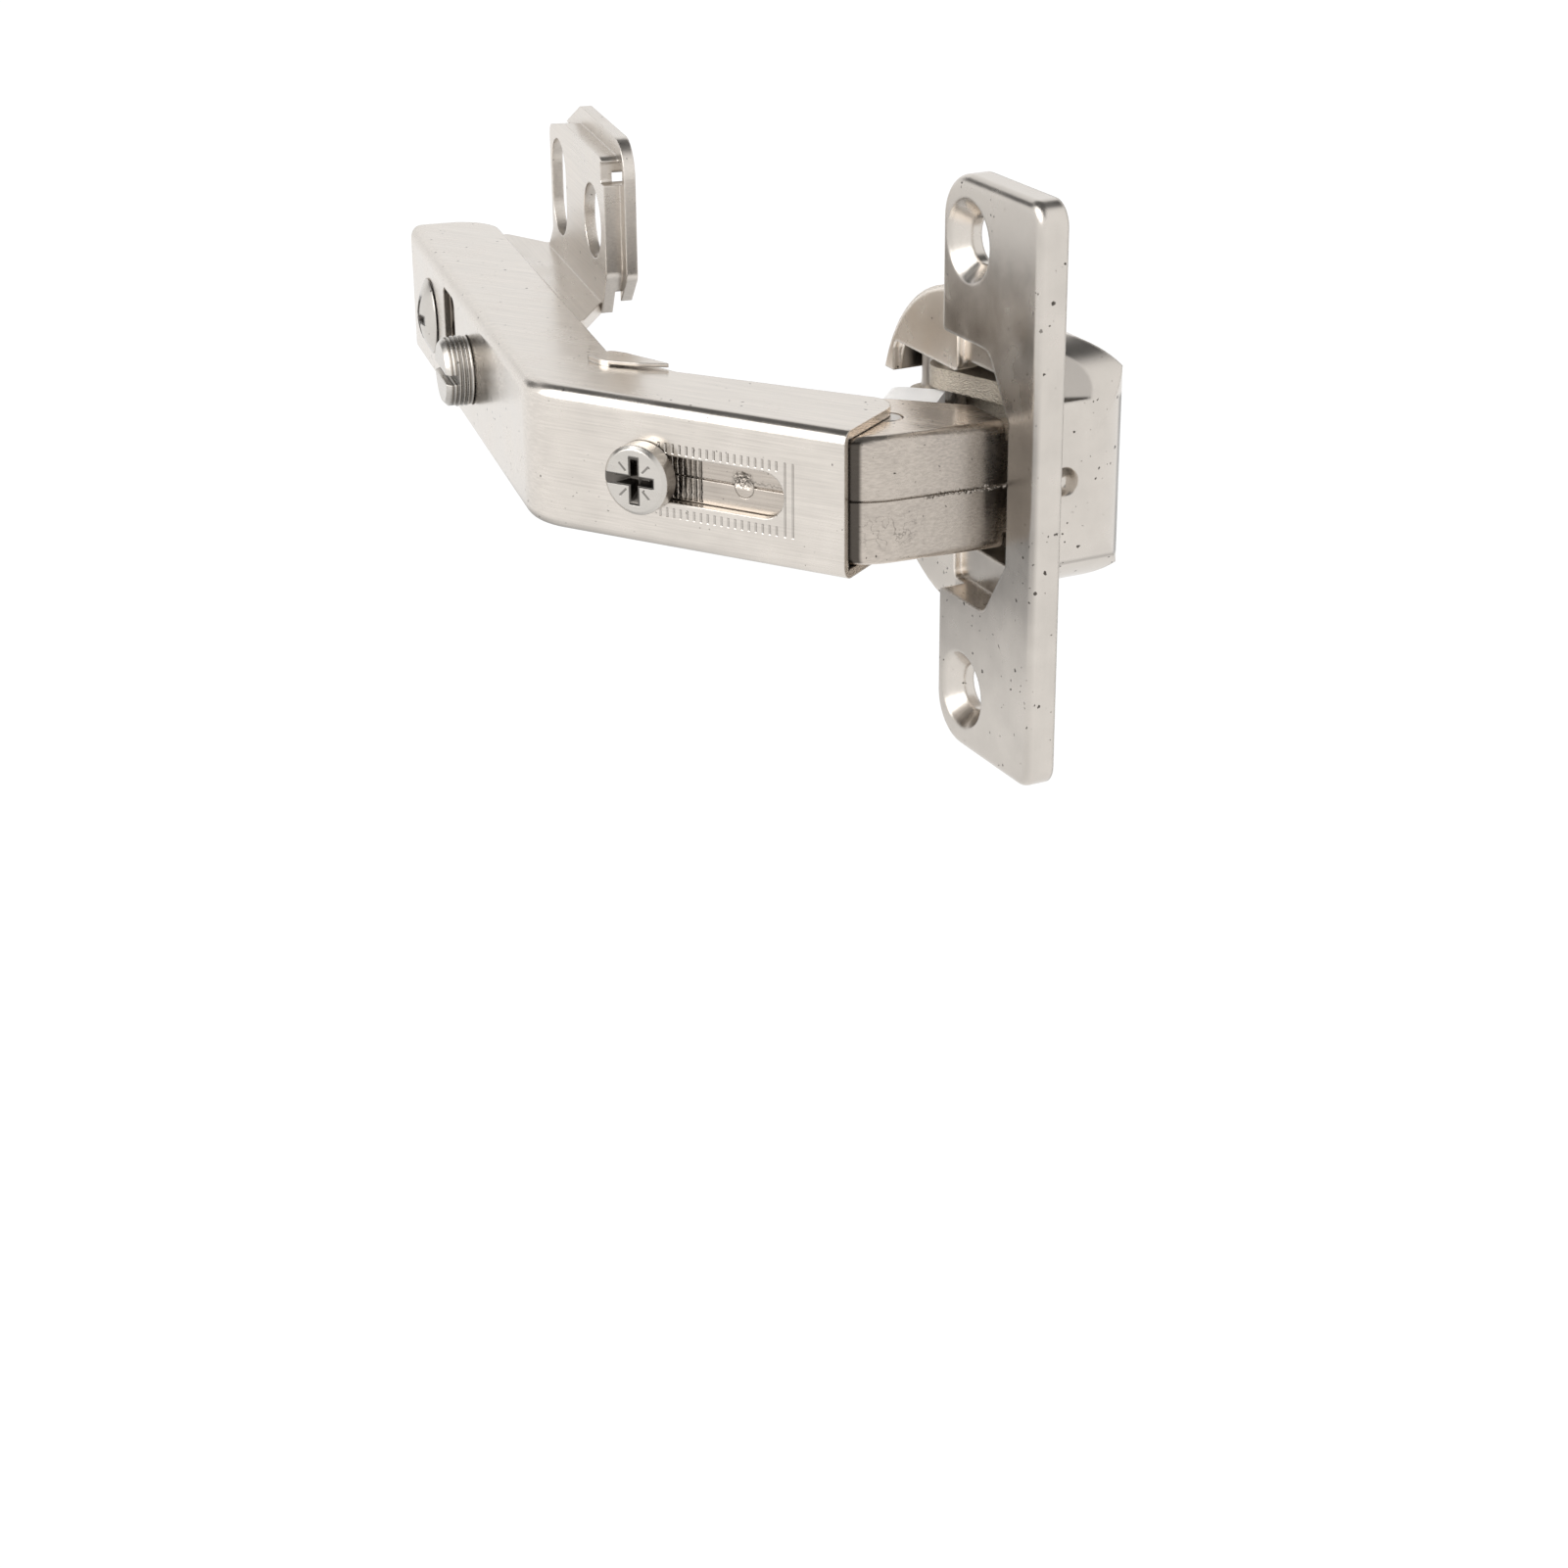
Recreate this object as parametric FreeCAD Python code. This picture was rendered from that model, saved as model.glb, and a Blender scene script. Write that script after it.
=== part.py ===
"""Corner cabinet hinge: a cup hinge whose cranked arm reaches round a blind corner.

Frame in millimetres: origin at the centre of the cup where it meets the door, +X into the door along the
cup's axis, +Y across the door towards its hinged edge, +Z up along all the pins. The hinge is closed.
"""
import FreeCAD, Part
import math
import os

V = FreeCAD.Vector
UP = V(0, 0, 1)

# Clearances
RUNNING = 0.05          # radial, a pin in the piece that turns on it
TIGHT = 0.01            # radial, a pin in the piece that holds it
SLIDING = 0.10          # a side, the inner arm in the cranked arm
APART = 0.30            # between pieces that pass each other

# Cup and flange
CUP_RADIUS = 17.4
CUP_RING = 1.5          # the rim is fully round from the door's face to here
CUP_RISE = 0.3          # the rim's inner part stands this far out of the door
POT_RADIUS = 17.1       # the round part behind the rim, on the far side
POT_DEPTH = 7.0
POT_NEAR = -5.0         # Y where the round part ends
POT_EDGE = 1.5          # chamfer round its floor
BODY_DEPTH = 12.2       # the deep part, from the door's face to the outside of its floor
BODY_NEAR = 15.95       # from the axis to its flat near side
BODY_FAR = 15.5
BODY_TOP = 14.0
BODY_LOW = 12.5
BODY_CORNER = 9.5       # rounding of its four long edges
BODY_ROUND = 6.5        # rounding round its floor
CUP_WALL = 1.2
NEAR_WALL = 1.4         # under the flange's strip
NOTCH_FLOOR = 8.9       # Z of the notch in the deep part's near upper corner
NOTCH_START = V(2.7, -13.2, NOTCH_FLOOR)
NOTCH_END = V(6.5, -14.87, NOTCH_FLOOR)
NOTCH_RISE = V(0, 3.7, 4.7)
FLANGE = 3.0
FLANGE_RIM = 1.0        # rounding of the flange's outer edge
FLANGE_LENGTH = 61.0
FLANGE_NEAR = 20.0      # from the cup's axis to the flange's long edge
FLANGE_FAR = -0.5       # Y of the ears' far edge
MOUTH_HALF = 8.6        # half height of the way out for the arm
WELL_HALF = 13.9        # half height of the gap between the ears
WELL_CORNER = -10.3     # Y where the gap starts to narrow
WELL_DEPTH = 0.5        # the floor beside the deeper room for the links
WELL_ROOM = 9.9         # half height of the deeper room
STRIP_HALF = 7.5        # half height where the gap meets the strip
ROOM_STRIP_HALF = 6.6   # the same in the deeper room
BLOCK_START = 0.5       # Y where the blocks that hold the pins start
MOUTH_FAR = 14.3        # Y of the inside of the far wall
FAR_WALL_LOW = 4.6      # top of the far wall's middle, where the inner link passes
DOOR_HOLES = 48.0
DOOR_HOLE_Y = -6.0
DOOR_HOLE_RADIUS = 2.5
COUNTERSINK_RADIUS = 4.2
COUNTERSINK_DEPTH = 1.8
DIMPLE_RADIUS = 1.7
DIMPLE_DEPTH = 0.6
DIMPLE_X = 2.9
DIMPLE_Z = 0.9

# Pivots and links
CUP_PIN_1 = V(2.9, 6.7, 0)       # outer link in the cup
CUP_PIN_2 = V(2.8, 10.9, 0)      # inner link in the cup
ARM_PIN_1 = V(6.3, -8.4, 0)      # outer link in the inner arm
ARM_PIN_2 = V(-11.2, -4.8, 0)    # inner link in the inner arm
CUP_PIN_RADIUS = 1.3
ARM_PIN_RADIUS = 1.5
PIN_CHAMFER = 0.25
CUP_PIN_BITE = 2.8      # how far a cup pin runs into each block
LINK_END = 2.6          # end radius round a cup pin
OUTER_LINK_END = 2.9    # end radius round the arm pin
OUTER_LINK_WAIST = 1.4  # from the link's centre line to the hollow edge
OUTER_LINK_HALF = 7.5
OUTER_LINK_EAR = 2.3
OUTER_LINK_WEB = 1.2
INNER_LINK_HALF = 3.6
INNER_LINK_EAR = 1.2
INNER_LINK_END = 3.5    # end radius round the open pivot
INNER_LINK_BODY = 2.3   # half width between the ends
PIN_PLAY = 1.7          # the open pivot's pin moves this far across the link
PIN_PLAY_ALONG = 0.25
SLIDER_HALF = 4.9
SLIDER_WALL = 1.1
SLIDER_START = 4.4      # from the cup pin along the inner link
SLIDER_LENGTH = 8.2

# Inner arm
ARM_HALF = 6.75
ARM_SHEET = 1.0
TIP_HALF = OUTER_LINK_HALF - OUTER_LINK_EAR - APART
TIP_RADIUS = 3.2
TIP_START = -1.7        # X where the tip narrows
TIP_WEB_END = 1.0       # X where the tip's web stops
ARM_BEND = 8.6          # outer radius where the arm turns into the cup
ARM_TIP_SLOPE = 4.5     # degrees, the near face past the bend
ARM_IN_MOUTH = V(-2.6, -11.8, 0)   # a point of the near face as it enters the cup
ARM_TAIL = 31.0         # the hidden end, from the cranked arm's mouth
ARM_TAIL_DEPTH = 9.8
ARM_FRONT_GAP = 0.2
ARM_FOLD = 1.2          # rounding of its folded edges
ARM_BACK = V(-8.4, 0.9, 0)         # a corner of its open side, past the bend
ARM_BACK_STEP = (9.0, 1.0)         # the next corner: from the open end, further back than the tail
SEAM_WIDTH = 0.2        # the groove along the middle of the near face
SEAM_DEPTH = 0.3
SEAM_Z = 0.1

# Cranked arm
MOUTH_CORNER = V(-19.2, -10.4, 0)  # front corner of its open end
ARM_TURN = 55.5         # degrees from the cup's axis to the arm's open end
CRANK = 45.0            # degrees between the two legs
LEG_SHORT = 37.0
LEG_LONG = 70.6
BOX_HALF = 7.75
BOX_SHEET = BOX_HALF - ARM_HALF - SLIDING
BOX_EDGE = 1.5
CRANK_ROUND = 8.0       # outside of the front bend
SHORT_DEPTH = 12.5      # the flanges' depth at the open end
LONG_DEPTH = 10.3
SLOT_HALF = 2.5
SLOT_START = 6.8        # from the open end
SLOT_END = 26.5
FIXING_AT = 57.0        # from the crank along the long leg
SIDE_SCREW_AT = 33.0
WINDOW = (41.0, 48.0, -1.0, 6.0)   # between the screws: along, along, low, high
SHORT_FLANGE_END = (25.6, 10.8)    # where the short leg's flange meets the lap: along, depth
CREST = (32.8, 34.7, 12.7)         # the raised inner corner: along, along, depth
LAP_TIP = (26.5, 11.3)             # tip of the tab that laps over the short leg's flange
LAP_ROOT = (29.6, 10.0, 33.6, 9.2, 36.0, 10.2)
LAP_SHEET = 0.6
LAP_GAP = 0.2           # under the tab's free end

# Screws and nut
CLAMP_AT = 23.0
CLAMP_HEAD_RADIUS = 3.7
CLAMP_HEAD = 2.1
CLAMP_SHANK_RADIUS = 2.3
CLAMP_LENGTH = 7.5
HEAD_CHAMFER = 0.4
NUT_SIDE = 9.0
NUT_THICK = 2.6
FIXING_HEAD_RADIUS = 4.5
FIXING_DOME = 1.4
FIXING_SHANK_RADIUS = 2.4
FIXING_LENGTH = 8.0
SIDE_SCREW_RADIUS = 3.85
SIDE_SCREW_OUT = 3.3
SIDE_NECK_RADIUS = 2.0
SIDE_FOOT_RADIUS = 3.4
SIDE_FOOT = 1.2
SEAT_GAP = 0.15         # under a head that the arm tilts against
COLLAR_RADIUS = 5.2
COLLAR = 1.1
RECESS_DEPTH = 1.3
RECESS_ARM = 4.6
RECESS_WIDTH = 0.9

# Mounting plate
PLATE_SHEET = 1.3
HAT_HALF = 6.3
HAT_TOP = 3.2           # behind the cranked arm's front face
PANEL_FRONT = 15.75
HAT_NEAR = 26.8
HAT_FAR = 68.5
WALL_BEND_DEPTH = 12.0
JOINT_NEAR = 34.0
JOINT_FAR = 63.0
WING_HALF = 25.3
WING_NEAR = 29.0
WING_FAR = 59.0
WING_CUT = (50.3, 21.6)  # far corner: along the edge, up the edge
LOW_WING_CUT = (45.0, 19.9)  # near corner of the lower wing
JOGGLE = 1.9            # the wing's near and top lips lie this far behind its panel
JOGGLE_AT = 2.0         # width of the lips in front
LIP_CORNER = 4.0
RELIEF = (29.9, 32.4, 20.3, 22.8)  # the opening in the near lip: along, along, low, high
PLATE_HOLE_AT = 37.2
PLATE_HOLE_RADIUS = 4.25
PLATE_HOLE_Z = 15.0
PLATE_SLOT_AT = 54.5
PLATE_SLOT_HALF = 3.75
PLATE_SLOT_LENGTH = 11.5
NUT_FLANGE_RADIUS = 4.6
NUT_NECK_RADIUS = 3.9
PAST = 9.0              # how far a cut runs past the sheet that it goes through

# Closing spring
SPRING_SHEET = 0.7
SPRING_HALF = 3.5
SPRING_RIVET_AT = 12.0
SPRING_TAIL = 4.0       # past the rivet
SPRING_LIFT = 0.5       # where the leaf leaves the arm, as a share of the way from the bend to the cup
SPRING_TIP = V(-2.2, -5.6, 0)
SPRING_RIVET_RADIUS = 1.1


def rounded(points, radii, low, height):
    """A prism on a polygon whose corners are rounded, each by its own radius."""
    starts, ends, middles = [], [], []
    count = len(points)
    for i, corner in enumerate(points):
        before = (points[i - 1] - corner).normalize()
        after = (points[(i + 1) % count] - corner).normalize()
        half = before.getAngle(after) / 2
        reach = radii[i] / math.tan(half)
        starts.append(corner + before * reach)
        ends.append(corner + after * reach)
        inward = (before + after).normalize() if radii[i] else V(0, 0, 0)
        middles.append(corner + inward * (radii[i] / math.sin(half) - radii[i]))
    edges = []
    for i in range(count):
        if radii[i]:
            edges.append(Part.Arc(starts[i], middles[i], ends[i]).toShape())
        if (starts[(i + 1) % count] - ends[i]).Length > 1e-6:
            edges.append(Part.LineSegment(ends[i], starts[(i + 1) % count]).toShape())
    face = Part.Face(Part.Wire(edges))
    face.translate(V(0, 0, low))
    return face.extrude(V(0, 0, height))


def both_halves(points, radii):
    """The outline of a piece that is the same above and below Z = 0, from its upper half."""
    lower = [V(p.x, -p.y, 0) for p in reversed(points)]
    return points + lower, radii + list(reversed(radii))


def across_door(points, radii, x_low, x_high):
    """A prism along the cup's axis on an outline drawn as (Y, Z)."""
    shape = rounded([V(y, z, 0) for y, z in points], radii, x_low, x_high - x_low)
    return placed(shape, FreeCAD.Placement(V(0, 0, 0), FreeCAD.Rotation(V(1, 1, 1), 120)))


def upright(centre, radius, half):
    """A cylinder along Z, the same above and below Z = 0."""
    return Part.makeCylinder(radius, 2 * half, V(centre.x, centre.y, -half), UP)


def slab(x_low, x_high, y_low, y_high, half):
    return Part.makeBox(x_high - x_low, y_high - y_low, 2 * half, V(x_low, y_low, -half))


def along_depth(x, z, radius, start, end):
    """A cylinder across an arm, from one depth behind its front face to another."""
    return Part.makeCylinder(radius, end - start, V(x, start, z), V(0, 1, 0))


def short_leg_place():
    return FreeCAD.Placement(MOUTH_CORNER, FreeCAD.Rotation(UP, -ARM_TURN))


def long_leg_place():
    crank = short_leg_place().multVec(V(-LEG_SHORT, 0, 0))
    return FreeCAD.Placement(crank, FreeCAD.Rotation(UP, -ARM_TURN - CRANK))


def on_short_leg(x, depth):
    """A point of the short leg: X towards the open end, depth behind the front face."""
    return short_leg_place().multVec(V(x, depth, 0))


def on_long_leg(along, depth):
    """A point of the long leg: distance from the crank, depth behind the front face."""
    return long_leg_place().multVec(V(-along, depth, 0))


def placed(shape, placement):
    shape = shape.copy()
    shape.Placement = placement.multiply(shape.Placement)
    return shape


def cross_recess(x, depth, z):
    """Two crossed slots that narrow towards their floor, cut from a screw's face at a depth."""
    cut = None
    for size_x, size_z in ((RECESS_ARM, RECESS_WIDTH), (RECESS_WIDTH, RECESS_ARM)):
        slot = Part.makeWedge(x - size_x / 2, depth, z - size_z / 2, z - size_z / 4, x - size_x / 4,
                              x + size_x / 2, depth + RECESS_DEPTH, z + size_z / 2, z + size_z / 4, x + size_x / 4)
        cut = slot if cut is None else cut.fuse(slot)
    return cut


def flange_plate():
    """The C-shaped plate that is screwed to the door; its outer rim is rounded, its inner edges are sharp."""
    half = FLANGE_LENGTH / 2
    near = -FLANGE_NEAR
    corners = [(near, -half), (FLANGE_FAR, -half), (FLANGE_FAR, half), (near, half)]
    plate = across_door(corners, [2.5, 5.0, 5.0, 2.5], -FLANGE, 0)
    plate = plate.makeFillet(FLANGE_RIM, [e for e in plate.Edges if e.BoundBox.XMax < 1e-6 - FLANGE])
    upper = [V(NEAR_WALL - BODY_NEAR, STRIP_HALF, 0), V(WELL_CORNER, WELL_HALF, 0),
             V(FLANGE_FAR, WELL_HALF, 0), V(FLANGE_FAR, half + 1, 0), V(near - 1, half + 1, 0)]
    points, radii = both_halves(upper, [1.0, 2.0, 1.5, 0, 0])
    return plate.common(across_door([(p.x, p.y) for p in points], radii, -FLANGE - 1, 1))


def deep_body(inset):
    """The deep part of the cup behind its rim, with all its faces moved inwards."""
    near, far = inset - BODY_NEAR, BODY_FAR - inset
    low, top = inset - BODY_LOW, BODY_TOP - inset
    floor, radii = BODY_DEPTH - inset, [0, BODY_ROUND - inset, BODY_ROUND - inset, 0]
    body = across_door([(near, low), (far, low), (far, top), (near, top)], [BODY_CORNER - inset] * 4, 0, floor)
    from_above = rounded([V(-1, near, 0), V(floor, near, 0), V(floor, far, 0), V(-1, far, 0)], radii,
                         low, top - low)
    from_side = rounded([V(-1, low, 0), V(floor, low, 0), V(floor, top, 0), V(-1, top, 0)], radii, -far, far - near)
    from_side = placed(from_side, FreeCAD.Placement(V(0, 0, 0), FreeCAD.Rotation(V(1, 0, 0), 90)))
    return body.common(from_above).common(from_side)


def round_part():
    """The rim that fills the door's bore, and the shallow round part behind its far side."""
    rim = Part.makeCylinder(CUP_RADIUS, CUP_RING, V(0, 0, 0), V(1, 0, 0))
    inner_rim = Part.makeCylinder(POT_RADIUS, CUP_RISE + CUP_RING, V(-CUP_RISE, 0, 0), V(1, 0, 0))
    inner_rim = inner_rim.makeChamfer(CUP_RISE / 2, [e for e in inner_rim.Edges if e.BoundBox.XMax < 0])
    pot = Part.makeCylinder(POT_RADIUS, POT_DEPTH, V(0, 0, 0), V(1, 0, 0))
    floor_edge = [e for e in pot.Edges if e.BoundBox.XMin > POT_DEPTH - 1e-6]
    pot = pot.makeChamfer(POT_EDGE, floor_edge)
    pot = pot.common(slab(-1, POT_DEPTH + 1, POT_NEAR, CUP_RADIUS, CUP_RADIUS))
    return rim.fuse([inner_rim, pot])


def cup_cavity():
    """The room for the links: wells between the ears, a deeper room, and the way out through the far wall."""
    strip = NEAR_WALL - BODY_NEAR
    front = -FLANGE - 1
    inside = Part.makeCylinder(CUP_RADIUS - CUP_WALL, WELL_DEPTH - front, V(front, 0, 0), V(1, 0, 0))
    room = deep_body(CUP_WALL)
    levels = []
    for half, strip_half, end, shell in ((WELL_HALF, STRIP_HALF, WELL_DEPTH, inside),
                                         (WELL_ROOM, ROOM_STRIP_HALF, BODY_DEPTH, room)):
        upper = [V(strip, strip_half, 0), V(WELL_CORNER, half, 0), V(BLOCK_START, half, 0),
                 V(BLOCK_START, MOUTH_HALF, 0), V(MOUTH_FAR, MOUTH_HALF, 0)]
        points, radii = both_halves(upper, [1.0, 2.0, 1.0, 0.6, 1.0])
        levels.append(across_door([(p.x, p.y) for p in points], radii, front, end).common(shell))
    before = -CUP_RISE - 1
    link_way = slab(before, FAR_WALL_LOW, MOUTH_FAR - 2, CUP_RADIUS + 1, SLIDER_HALF + APART)
    return levels[0].fuse([levels[1], link_way])


def notch():
    """The slanted facet cast into the deep part's near upper corner."""
    along = (NOTCH_END - NOTCH_START).normalize()
    first = NOTCH_START + along * ((CUP_RING - NOTCH_START.x) / along.x)
    last = NOTCH_END + along * BODY_ROUND
    outside = V(0, -CUP_RADIUS, 0)
    face = Part.Face(Part.makePolygon([first, last, last + outside, first + outside, first]))
    return face.extrude(NOTCH_RISE * 1.5)


def hinge_cup():
    """The die-cast cup with its flange, seats for the pins, two countersunk holes, a notch and a dimple."""
    ball_radius = (DIMPLE_RADIUS ** 2 + DIMPLE_DEPTH ** 2) / (2 * DIMPLE_DEPTH)
    ball = Part.makeSphere(ball_radius, V(DIMPLE_X, DIMPLE_DEPTH - BODY_NEAR - ball_radius, DIMPLE_Z))
    body = deep_body(0).cut(notch()).cut(ball)
    cup = round_part().fuse([body, flange_plate()]).cut(cup_cavity())
    for side in (-1, 1):
        axis_point = V(-FLANGE, DOOR_HOLE_Y, side * DOOR_HOLES / 2)
        hole = Part.makeCylinder(DOOR_HOLE_RADIUS, FLANGE + 1, axis_point, V(1, 0, 0))
        sink = Part.makeCone(COUNTERSINK_RADIUS, DOOR_HOLE_RADIUS, COUNTERSINK_DEPTH, axis_point, V(1, 0, 0))
        cup = cup.cut(hole).cut(sink)
    for pin in (CUP_PIN_1, CUP_PIN_2):
        cup = cup.cut(upright(pin, CUP_PIN_RADIUS + TIGHT, MOUTH_HALF + CUP_PIN_BITE + TIGHT))
    return cup


def cup_pin(centre):
    return upright(centre, CUP_PIN_RADIUS, MOUTH_HALF + CUP_PIN_BITE)


def link_outline(start, end, start_radius, end_radius, inner_offset, half):
    """A link's plan: two round ends joined by a straight back and a waisted front."""
    along = (end - start).normalize()
    side = UP.cross(along)
    ends = upright(start, start_radius, half).fuse(upright(end, end_radius, half))
    middle = (end - start).Length / 2
    back_start = start + side * start_radius
    back_end = end + side * end_radius
    front_end = end - side * end_radius
    front_middle = start + along * middle - side * inner_offset
    front_start = start - side * start_radius
    body = rounded([back_start, front_start, front_middle, front_end, back_end], [0, 0, 4.0, 0, 0], -half, 2 * half)
    return ends.fuse(body).removeSplitter()


def outer_link():
    """Two thick sheared ears joined by a web on the cup's floor side."""
    solid = link_outline(CUP_PIN_1, ARM_PIN_1, LINK_END, OUTER_LINK_END, OUTER_LINK_WAIST, OUTER_LINK_HALF)
    along = (ARM_PIN_1 - CUP_PIN_1).normalize()
    side = UP.cross(along)
    inner_half = OUTER_LINK_HALF - OUTER_LINK_EAR
    length = (ARM_PIN_1 - CUP_PIN_1).Length
    room = Part.makeBox(4 * length, 4 * LINK_END, 2 * inner_half, V(-2 * length, -4 * LINK_END, -inner_half))
    web_reach = LINK_END - OUTER_LINK_WEB
    room.translate(V(0, web_reach, 0))
    past_web = Part.makeBox(length, 4 * LINK_END, 2 * inner_half, V(length * 0.55, -2 * LINK_END, -inner_half))
    before_web = Part.makeBox(length, 4 * LINK_END, 2 * inner_half, V(-length, -2 * LINK_END, -inner_half))
    hollow = room.fuse(past_web).fuse(before_web)
    turn = FreeCAD.Rotation(UP, math.degrees(math.atan2(along.y, along.x)))
    hollow.Placement = FreeCAD.Placement(CUP_PIN_1, turn)
    link = solid.cut(hollow)
    link = link.cut(upright(CUP_PIN_1, CUP_PIN_RADIUS + RUNNING, OUTER_LINK_HALF + 1))
    return link.cut(upright(ARM_PIN_1, ARM_PIN_RADIUS + RUNNING, OUTER_LINK_HALF + 1))


def inner_link_place():
    along = ARM_PIN_2 - CUP_PIN_2
    return FreeCAD.Placement(CUP_PIN_2, FreeCAD.Rotation(UP, math.degrees(math.atan2(along.y, along.x))))


def inner_link():
    """Two narrow ears joined by a web; the far end has a slot in which the arm's pin plays."""
    length = (ARM_PIN_2 - CUP_PIN_2).Length
    play = PIN_PLAY / 2
    half = INNER_LINK_HALF
    near_end = upright(V(0, 0, 0), LINK_END, half)
    far_end = upright(V(length, play, 0), INNER_LINK_END, half)
    body = slab(0, length, -INNER_LINK_BODY, INNER_LINK_BODY, half)
    link = near_end.fuse(far_end).fuse(body)
    room = slab(-2 * LINK_END, LINK_END + 1, -2 * LINK_END, 2 * LINK_END, half - INNER_LINK_EAR)
    room = room.fuse(slab(0, length + 9, -INNER_LINK_BODY + INNER_LINK_EAR, 9, half - INNER_LINK_EAR))
    room = room.fuse(slab(length - INNER_LINK_END, length + 9, -9, 9, half - INNER_LINK_EAR))
    link = link.cut(room).cut(upright(V(0, 0, 0), CUP_PIN_RADIUS + RUNNING, half + 1))
    slot_radius = ARM_PIN_RADIUS + PIN_PLAY_ALONG + 0.1
    slot = upright(V(length, 0, 0), slot_radius, half + 1).fuse(upright(V(length, PIN_PLAY, 0), slot_radius, half + 1))
    slot = slot.fuse(slab(length - slot_radius, length + slot_radius, 0, PIN_PLAY, half + 1))
    link = placed(link.cut(slot), inner_link_place())
    return link.cut(upright(CUP_PIN_1, CUP_PIN_RADIUS + APART, half + 1)).removeSplitter()


def link_slider():
    """The nylon sleeve that wraps the inner link on three sides."""
    outer = rounded([V(SLIDER_START, -INNER_LINK_BODY - SLIDER_WALL, 0),
                     V(SLIDER_START + SLIDER_LENGTH, -INNER_LINK_BODY - SLIDER_WALL, 0),
                     V(SLIDER_START + SLIDER_LENGTH, INNER_LINK_BODY, 0),
                     V(SLIDER_START, INNER_LINK_BODY, 0)], [1.2, 1.2, 0.6, 0.6], -SLIDER_HALF, 2 * SLIDER_HALF)
    room = slab(0, 2 * SLIDER_LENGTH, -INNER_LINK_BODY - TIGHT, 2 * INNER_LINK_BODY, INNER_LINK_HALF + TIGHT)
    return placed(outer.cut(room), inner_link_place())


def near_face(offset, tail):
    """The inner arm's near face from above, moved inwards: tail, bend, mouth of the cup, tip."""
    slope = math.radians(ARM_TIP_SLOPE)
    direction = V(math.cos(slope), -math.sin(slope), 0)
    normal = UP.cross(direction)
    in_mouth = ARM_IN_MOUTH + normal * offset
    tip_side = ARM_PIN_1 - normal * (TIP_RADIUS - offset)
    start = on_short_leg(-tail, BOX_SHEET + ARM_FRONT_GAP + offset)
    leg = on_short_leg(1, 0) - on_short_leg(0, 0)
    reach = (in_mouth - start).cross(direction).z / leg.cross(direction).z
    return [start, start + leg * reach, in_mouth, tip_side]


def behind_near_face(offset, half, low=None):
    """All that lies behind the inner arm's near face, moved inwards, over a height."""
    low = -half if low is None else low
    beyond = 2 * ARM_TAIL
    points = near_face(offset, ARM_TAIL + 2)
    points += [V(beyond, points[3].y, 0), V(beyond, beyond, 0), on_short_leg(-ARM_TAIL - 2, beyond)]
    return rounded(points, [0, ARM_BEND - offset, 0, 0, 0, 0, 0], low, half - low)


def inner_arm():
    """A channel that slides in the cranked arm, turns, and narrows to the tip that the outer link grips."""
    front = BOX_SHEET + ARM_FRONT_GAP
    top = ARM_PIN_1 + V(0, TIP_RADIUS, 0)
    near = near_face(0, ARM_TAIL)
    back = [top, V(TIP_START, top.y, 0), ARM_BACK,
            on_short_leg(-ARM_BACK_STEP[0], front + ARM_TAIL_DEPTH + ARM_BACK_STEP[1]),
            on_short_leg(-ARM_TAIL, front + ARM_TAIL_DEPTH)]
    radii = [0, ARM_BEND, 0, 0, 0, 2.0, 3.0, 8.0, 1.0]
    outer = rounded(near + back, radii, -ARM_HALF, 2 * ARM_HALF)
    line = Part.makePolygon(near)
    folds = []
    for edge in outer.Edges:
        middle = edge.valueAt((edge.FirstParameter + edge.LastParameter) / 2)
        level = abs(abs(middle.z) - ARM_HALF) < 1e-6
        at_line = line.distToShape(Part.Vertex(middle.x, middle.y, 0))[0] < ARM_FOLD
        if level and at_line:
            folds.append(edge)
    outer = outer.makeFillet(ARM_FOLD, folds)
    outer = outer.fuse(upright(ARM_PIN_1, TIP_RADIUS, TIP_HALF))
    beyond = 2 * ARM_TAIL
    beside_tip = slab(TIP_START, beyond, -beyond, beyond, 2 * ARM_HALF)
    beside_tip = beside_tip.cut(slab(TIP_START, beyond, -beyond, beyond, TIP_HALF))
    hollow = behind_near_face(ARM_SHEET, ARM_HALF - ARM_SHEET)
    hollow = hollow.cut(slab(TIP_START - ARM_SHEET, beyond, -beyond, beyond, ARM_HALF))
    hollow = hollow.fuse(behind_near_face(ARM_SHEET, TIP_HALF - ARM_SHEET))
    seam = behind_near_face(-1, SEAM_Z + SEAM_WIDTH, SEAM_Z)
    seam = seam.cut(behind_near_face(SEAM_DEPTH, ARM_HALF))
    arm = outer.cut(beside_tip).cut(hollow).cut(seam)
    arm = arm.cut(slab(TIP_WEB_END, beyond, -beyond, beyond, TIP_HALF - ARM_SHEET))
    arm = arm.cut(upright(ARM_PIN_1, ARM_PIN_RADIUS + TIGHT, ARM_HALF))
    arm = arm.cut(upright(ARM_PIN_2, ARM_PIN_RADIUS + TIGHT, ARM_HALF + 1))
    holes = along_depth(-CLAMP_AT, 0, CLAMP_SHANK_RADIUS + RUNNING, 0, front + 2 * ARM_SHEET)
    holes = holes.fuse(along_depth(-SPRING_RIVET_AT, 0, SPRING_RIVET_RADIUS + TIGHT, 0, front + 2 * ARM_SHEET))
    return arm.cut(placed(holes, short_leg_place()))


def arm_pin(centre, half):
    """A rivet with its ends chamfered where they show beside the hole."""
    pin = upright(centre, ARM_PIN_RADIUS, half)
    return pin.makeChamfer(PIN_CHAMFER, [e for e in pin.Edges if e.BoundBox.ZLength < 1e-6])


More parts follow.
